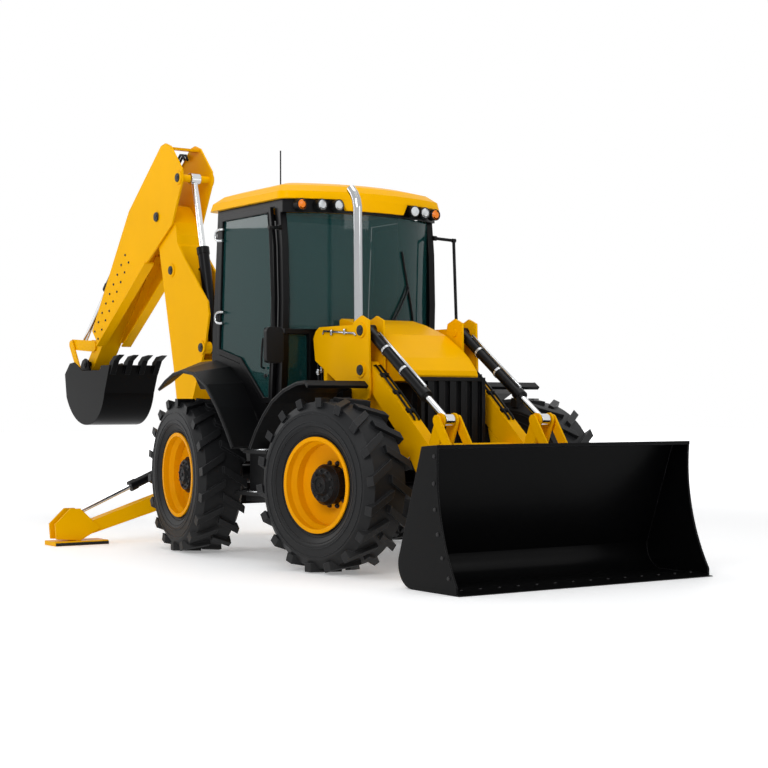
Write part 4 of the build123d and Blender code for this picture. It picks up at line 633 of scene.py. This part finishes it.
# %% Door fittings
DOOR_OPENING = (
    (0.107, 1.803), (0.488, 1.715), (0.890, 1.369), (0.977, 1.369), (1.013, 1.755),
    (1.029, 2.200), (1.013, 2.645), (0.967, 2.935), (0.181, 2.935))
DOOR_FACE, BEAD_Y, HINGE_Y = 0.826, 0.8265, 0.838
HINGE_PLACES = ((0.165, 2.860), (0.160, 2.130))
HINGE_BAR = (
    (0.050, 0.000), (-0.020, 0.004), (-0.066, 0.000), (-0.094, -0.014), (-0.106, -0.042),
    (-0.100, -0.070), (-0.072, -0.088), (-0.020, -0.096), (0.030, -0.096))
HANDLE = (
    # X, outward, Z
    (0.905, DOOR_FACE, 1.62), (0.905, 0.856, 1.63), (0.915, 0.862, 1.70),
    (0.925, 0.862, 1.80), (0.930, 0.856, 1.87), (0.930, DOOR_FACE, 1.88))
for side, hand in ((-1, "right"), (1, "left")):
    bead = bmesh.new()
    loop = along_side(DOOR_OPENING, side * BEAD_Y)
    add_tube(bead, loop + [loop[0], loop[0] + (loop[1] - loop[0]) * 0.02], 0.007, 8)
    new_piece("door_bead_" + hand, bead, paint["moulded_black"], "door_" + hand)
    fittings = bmesh.new()
    for hinge_x, hinge_z in HINGE_PLACES:
        bar = [at(hinge_x + x, side * HINGE_Y, hinge_z + z) for x, z in HINGE_BAR]
        add_tube(fittings, bar, 0.0125, 10)
        for step in (0.040, -0.020):
            head_at = at(hinge_x + step, side * 0.846, hinge_z)
            add_disc(fittings, head_at, (0, side, 0), 0.012, 0.008, 0.009, 12)
    new_piece("door_hinges_" + hand, fittings, paint["bright_pipe"], "door_" + hand)
    handle = bmesh.new()
    add_tube(handle, [at(x, side * out, z) for x, out, z in HANDLE], 0.009, 10)
    add_disc(handle, at(0.925, side * DOOR_FACE, 1.555), (0, side, 0), 0.018, 0.012, 0.015, 20)
    new_piece("door_handle_" + hand, handle, paint["moulded_black"], "door_" + hand)
print("doors fitted")

# %% [markdown]
# One long wiper turns on a spindle under the windscreen, on the machine's left, and leans its
# rubber blade against the curved glass, so each point is set a little ahead of that curve.

# %% Wiper
SCREEN_RADIUS, SCREEN_FRONT = 1.260, 1.345
WIPER_ARM = ((0.18, 2.000, 0.026), (0.27, 2.130, 0.030), (0.40, 2.330, 0.022))
WIPER_BLADE = ((0.475, 2.040), (0.440, 2.190), (0.400, 2.330), (0.360, 2.480), (0.320, 2.640))
WIPER_LINK = ((0.180, 2.020), (0.280, 2.180), (0.385, 2.350))


def on_screen(y, z, ahead):
    """Point a little ahead of the windscreen's curved face."""
    return at(SCREEN_FRONT - SCREEN_RADIUS + sqrt(SCREEN_RADIUS ** 2 - y * y) + ahead, y, z)


wiper = bmesh.new()
add_disc(wiper, on_screen(0.18, 2.000, 0.002), (1, 0, 0), 0.026, 0.026, 0.020, 20)
add_tube(wiper, [on_screen(*place) for place in WIPER_ARM], 0.009, 8)
add_tube(wiper, [on_screen(y, z, 0.010) for y, z in WIPER_BLADE], 0.010, 8)
add_tube(wiper, [on_screen(y, z, 0.012) for y, z in WIPER_LINK], 0.004, 6)
new_piece("windscreen_wiper", wiper, paint["moulded_black"], "machine")

# %% [markdown]
# Mirror heads are moulded shells with a flat glass set in a rim that faces back to the cab.

# %% Mirror faces
mirror_glass = bpy.data.materials.new("mirror_face")
tree = node_tree(mirror_glass)
output = tree.nodes.new("ShaderNodeOutputMaterial")
surface = tree.nodes.new("ShaderNodeBsdfPrincipled")
surface.inputs["Base Color"].default_value = (0.80, 0.82, 0.84, 1.0)
surface.inputs["Metallic"].default_value = 1.0
tree.links.new(math(tree, "MULTIPLY", noise(tree, 30.0), 0.06), surface.inputs["Roughness"])
tree.links.new(surface.outputs["BSDF"], output.inputs["Surface"])
faces, rims = bmesh.new(), bmesh.new()
MIRROR_Y, GLASS_HALF, RIM_HALF = 0.95, 0.068, 0.076
for side in SIDES:
    middle = side * MIRROR_Y
    add_box(faces, at(1.2415, middle - GLASS_HALF, 1.670), at(1.2448, middle + GLASS_HALF, 1.940), 0.001)
    add_box(rims, at(1.2430, middle - RIM_HALF, 1.662), at(1.2460, middle + RIM_HALF, 1.948), 0.001)
new_piece("mirror_glasses", faces, mirror_glass, "machine")
new_piece("mirror_rims", rims, paint["moulded_black"], "machine")

# %% [markdown]
# Hoses and pipes carry the oil. Black hoses with bright couplings hang behind each tower,
# pipes lie along the lift arms and the tilt rams, and more hoses climb the boom's channel and
# cross the head of the dipper. Each rides on the body that it is clipped to.

# %% Hoses and pipes
HOSE, PIPE = 0.0135, 0.0095
TOWER_HOSE_Y, TOWER_HOSE_PITCH = 0.452, 0.030
TOWER_HOSE = (
    (1.392, 1.870), (1.335, 1.884), (1.288, 1.845), (1.268, 1.740), (1.270, 1.560), (1.300, 1.380),
    (1.380, 1.150))
COUPLING_X, COUPLING_Z, COUPLING_DROP = 1.269, 1.600, 0.020
TOWER_PIPE = (
    # X, outward, Z
    (1.420, 0.5590, 1.900), (1.440, 0.5630, 1.925), (1.900, 0.5630, 1.889), (1.918, 0.5590, 1.870))
TOWER_CLIPS, TOWER_CLIP_Y = (1.560, 1.760), 0.5635
ARM_Y, ARM_PIPE_OFFSET = 0.470, 0.022
ARM_PIPE = ((2.080, 1.620), (2.110, 1.626), (2.424, 1.388), (2.640, 1.210), (2.652, 1.190))
ARM_CLIPS = ((2.200, 1.556), (2.380, 1.418), (2.560, 1.274))
TILT_FOOT = Vector((1.990, 1.910))
TILT_ALONG, TILT_UP = Vector((0.8272, -0.5619)), Vector((0.5619, 0.8272))
TILT_PIPE = (
    # distance along the tilt ram from its foot, and up from its axis
    (0.130, 0.044), (0.130, 0.060), (0.900, 0.060), (0.900, 0.044))
TILT_BANDS = (0.300, 0.600, 0.930)
BAND = ((0.0452, -0.012), (0.0500, -0.012), (0.0500, 0.012), (0.0452, 0.012))
hoses, couplings, pipes, arm_pipes, ram_pipes = (bmesh.new() for _ in range(5))
for side in SIDES:
    for number in range(3):
        y = side * (TOWER_HOSE_Y + TOWER_HOSE_PITCH * number)
        z = COUPLING_Z - COUPLING_DROP * number
        add_tube(hoses, along_side(TOWER_HOSE, y), HOSE, 10)
        add_disc(couplings, at(COUPLING_X, y, z), (0, 0, 1), 0.018, 0.050, segments=12)
        add_disc(couplings, at(COUPLING_X, y, z + 0.015), (0, 0, 1), 0.022, 0.020, segments=6)
    add_tube(pipes, [at(x, side * out, z) for x, out, z in TOWER_PIPE], PIPE, 10)
    for clip_x in TOWER_CLIPS:
        add_box(couplings, at(clip_x - 0.012, side * TOWER_CLIP_Y - 0.010, 1.884),
                at(clip_x + 0.012, side * TOWER_CLIP_Y + 0.010, 1.930), 0.002)
    for offset in (-ARM_PIPE_OFFSET, ARM_PIPE_OFFSET):
        add_tube(arm_pipes, along_side(ARM_PIPE, side * ARM_Y + offset), PIPE, 8)
    for clip_x, clip_z in ARM_CLIPS:
        add_box(arm_pipes, at(clip_x - 0.015, side * ARM_Y - 0.038, clip_z - 0.030),
                at(clip_x + 0.015, side * ARM_Y + 0.038, clip_z + 0.008), 0.003)
    line = [TILT_FOOT + TILT_ALONG * along + TILT_UP * up for along, up in TILT_PIPE]
    add_tube(ram_pipes, along_side(line, side * ARM_Y), PIPE, 10)
    for along in TILT_BANDS:
        band_x, band_z = TILT_FOOT + TILT_ALONG * along
        add_ring(ram_pipes, at(band_x, side * ARM_Y, band_z), (TILT_ALONG.x, 0, TILT_ALONG.y), BAND, 32)
new_piece("tower_hoses", hoses, paint["moulded_black"], "machine", 60)
new_piece("hose_couplings", couplings, paint["bright_pipe"], "machine")
new_piece("tower_pipes", pipes, paint["bright_pipe"], "machine", 60)
new_piece("arm_pipes", arm_pipes, paint["satin_black"], "loader_arms", 60)
new_piece("tilt_ram_pipes", ram_pipes, paint["bright_pipe"], "tilt_ram_barrels", 60)

BOOM_HOSE = (
    (-1.640, 1.800), (-1.665, 1.890), (-1.790, 2.280), (-1.905, 2.640), (-1.930, 2.690), (-1.965, 2.700))
DIPPER_HOSE = (
    (-2.335, 3.860), (-2.370, 3.915), (-2.425, 3.925), (-2.760, 3.664), (-2.950, 3.516), (-2.985, 3.450))
climb, cross = bmesh.new(), bmesh.new()
for y in (-0.105, -0.070, 0.070, 0.105):
    add_tube(climb, along_side(BOOM_HOSE, y), HOSE, 10)
for y in (-0.135, -0.100, 0.100, 0.135):
    add_tube(cross, along_side(DIPPER_HOSE, y), HOSE, 10)
new_piece("boom_hoses", climb, paint["moulded_black"], "boom", 60)
new_piece("dipper_hoses", cross, paint["moulded_black"], "dipper", 60)
print("hoses and pipes", HOSE, PIPE)

# %% [markdown]
# Rows of screws hold the wear strips that guide the sliding part of the dipper, plough bolts
# hold the bucket's side edges, the steps have bright ribbed treads, the fenders end in a
# rolled edge and a rubber pad lies under each stabiliser's foot.

# %% Plates, steps and feet
SLIDE_TURN, DIG_HINGE = radians(45), Vector((-4.250, 1.770))
STRIP_SCREWS, STRIP_START, STRIP_PITCH, STRIP_HALF = 9, 0.450, 0.140, 0.060
screws = bmesh.new()
for side in SIDES:
    for number in range(STRIP_SCREWS):
        for across in (-STRIP_HALF, STRIP_HALF):
            along = STRIP_START + STRIP_PITCH * number
            spot = DIG_HINGE + Vector((along * cos(SLIDE_TURN) - across * sin(SLIDE_TURN),
                                       along * sin(SLIDE_TURN) + across * cos(SLIDE_TURN)))
            add_nut(screws, at(spot.x, side * 0.1795, spot.y), (0, side, 0), 0.020, 0.011)
new_piece("dipper_strip_screws", screws, paint["cast_dark"], "dipper")

SIDE_BOLTS = (
    (3.897, 0.950), (3.893, 0.760), (3.906, 0.580), (3.940, 0.410), (3.994, 0.250), (4.068, 0.115))
edge_bolts = bmesh.new()
for side in SIDES:
    for bolt_x, bolt_z in SIDE_BOLTS:
        add_disc(edge_bolts, at(bolt_x, side * 1.2095, bolt_z), (0, side, 0), 0.016, 0.008, 0.012, 14)
new_piece("bucket_side_bolts", edge_bolts, paint["cast_dark"], "front_bucket")

STEPS = (
    # rear X, front X, inner Y, Z of the tread
    (0.780, 1.250, 0.810, 0.575), (0.930, 1.310, 0.790, 0.930))
STEP_EDGE_Y, TREAD_RIBS = 1.042, 6
FRONT_LIP = (
    (1.232, 0.960), (1.333, 1.098), (1.462, 1.230), (1.602, 1.344), (1.780, 1.430), (1.979, 1.484),
    (2.108, 1.495), (2.160, 1.461))
REAR_LIP = (
    (-0.428, 1.454), (-0.299, 1.528), (-0.140, 1.590), (0.040, 1.615), (0.240, 1.591), (0.470, 1.482),
    (0.680, 1.287), (0.830, 1.107), (0.943, 0.955))
LIP_Y, LIP_DROP, LIP_RADIUS = 1.158, 0.006, 0.013
treads, lips = bmesh.new(), bmesh.new()
for side in SIDES:
    for low_x, high_x, near_y, tread_z in STEPS:
        y_low, y_high = sorted((side * near_y, side * STEP_EDGE_Y))
        add_box(treads, at(low_x, y_low, tread_z - 0.001), at(high_x, y_high, tread_z + 0.003), 0.001)
        for number in range(TREAD_RIBS):
            rib_y = y_low + (y_high - y_low) * (number + 0.5) / TREAD_RIBS
            add_box(treads, at(low_x + 0.010, rib_y - 0.006, tread_z + 0.002),
                    at(high_x - 0.010, rib_y + 0.006, tread_z + 0.009), 0.002)
    for lip in (FRONT_LIP, REAR_LIP):
        add_tube(lips, [at(x, side * LIP_Y, z - LIP_DROP) for x, z in lip], LIP_RADIUS, 10)
new_piece("step_treads", treads, paint["bright_pipe"], "machine")
new_piece("fender_lips", lips, paint["moulded_black"], "machine", 60)
FOOT_INNER_Y, FOOT_OUTER_Y = 1.336, 1.8695
for side, hand in ((-1, "right"), (1, "left")):
    rubber = bmesh.new()
    y_low, y_high = sorted((side * FOOT_INNER_Y, side * FOOT_OUTER_Y))
    add_box(rubber, at(-1.4005, y_low, 0.0005), at(-1.1345, y_high, 0.0300), 0.004)
    new_piece("foot_rubber_" + hand, rubber, paint["tyre_rubber"], "stabiliser_leg_" + hand)
print("treads, lips and feet")

# %% [markdown]
# The operator's seat is foam in a woven cover: a cushion with raised side bolsters and a
# tall back. Both are crowned closed forms, rounded by subdivision, with a sewn channel
# pressed in beside each bolster.

# %% Seat
BOLSTER_START, BOLSTER_RISE = 0.62, 0.028
CHANNEL_START, CHANNEL_END, CHANNEL_DEPTH = 0.50, 0.64, 0.014
FRONT_FALL, EDGE_PINCH = 0.8, 0.07


def pad(name, low, high, crown, tilt, hinge_at):
    """Crowned cushion between two corners, leaned by tilt about Y at hinge_at."""
    shape = bmesh.new()
    add_box(shape, low, high)
    bmesh.ops.subdivide_edges(shape, edges=shape.edges[:], cuts=7, use_grid_fill=True)
    middle, half = (Vector(low) + Vector(high)) / 2, (Vector(high) - Vector(low)) / 2
    for vert in shape.verts:
        away = vert.co - middle
        x, y, z = (away[i] / half[i] for i in range(3))
        vert.co.z += crown * (1 - x * x * FRONT_FALL) * (1 - y * y) * (0.5 + z / 2) * half.z
        if abs(y) > BOLSTER_START and z > 0:
            vert.co.z += BOLSTER_RISE * sin((abs(y) - BOLSTER_START) / (1 - BOLSTER_START) * pi / 2)
        if CHANNEL_START < abs(y) < CHANNEL_END and z > 0.9:
            vert.co.z -= CHANNEL_DEPTH
        pinch = 1 - EDGE_PINCH * z * z
        vert.co.x = middle.x + away.x * pinch
        vert.co.y = middle.y + away.y * pinch
    lean = Matrix.Rotation(tilt, 3, "Y")
    bmesh.ops.rotate(shape, verts=shape.verts, cent=Vector(hinge_at), matrix=lean)
    piece = new_piece(name, shape, paint["woven_seat"], "machine", 80)
    soften = piece.modifiers.new("soften", "SUBSURF")
    soften.levels = soften.render_levels = 2
    return piece


cushion = pad("seat_cushion", at(0.300, -0.235, 1.420), at(0.735, 0.235, 1.530),
              0.35, radians(-3), at(0.5, 0, 1.45))
backrest = pad("seat_back", at(0.300, -0.225, 1.500), at(0.850, 0.225, 1.600),
               0.30, radians(-98), at(0.300, 0, 1.500))
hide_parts("operator_seat")
print("seat", [tuple(round(v, 3) for v in piece.dimensions) for piece in (cushion, backrest)])

# %% [markdown]
# Every solid that came from the CAD model gets its finish here, chosen by its name.

# %% Finish for each solid
BY_NAME = (
    # start of the name, finish
    ("tyre", "tyre_rubber"), ("rim", "rim_yellow"), ("knuckle", "cast_dark"), ("axles", "satin_black"),
    ("chassis", "satin_black"), ("rear_frame", "satin_black"), ("engine", "cast_dark"),
    ("front_bucket", "bucket_black"), ("digging_bucket", "bucket_black"), ("hood", "machine_yellow"),
    ("loader_towers", "machine_yellow"), ("front_grille", "moulded_black"), ("exhaust", "bright_pipe"),
    ("cab_frame", "satin_black"), ("cab_roof", "machine_yellow"), ("door", "satin_black"),
    ("operator_seat", "woven_seat"), ("driving_console", "moulded_black"), ("fenders", "moulded_black"),
    ("step_boxes", "moulded_black"), ("work_lamps", "moulded_black"), ("mirrors", "moulded_black"),
)


def finish_for(node):
    """Finish of one CAD solid."""
    if node.startswith(("cab_glass", "door_glass")):
        return window_tint
    if "_rod" in node:
        return paint["polished_rod"]
    if "_barrel" in node:
        return paint["satin_black"]
    for start, name in BY_NAME:
        if node.startswith(start):
            return paint[name]
    return paint["machine_yellow"]


for node, solid in frame["nodes"].items():
    solid.data.materials.clear()
    solid.data.materials.append(finish_for(node))
print("dressed", len(frame["nodes"]), "solids")
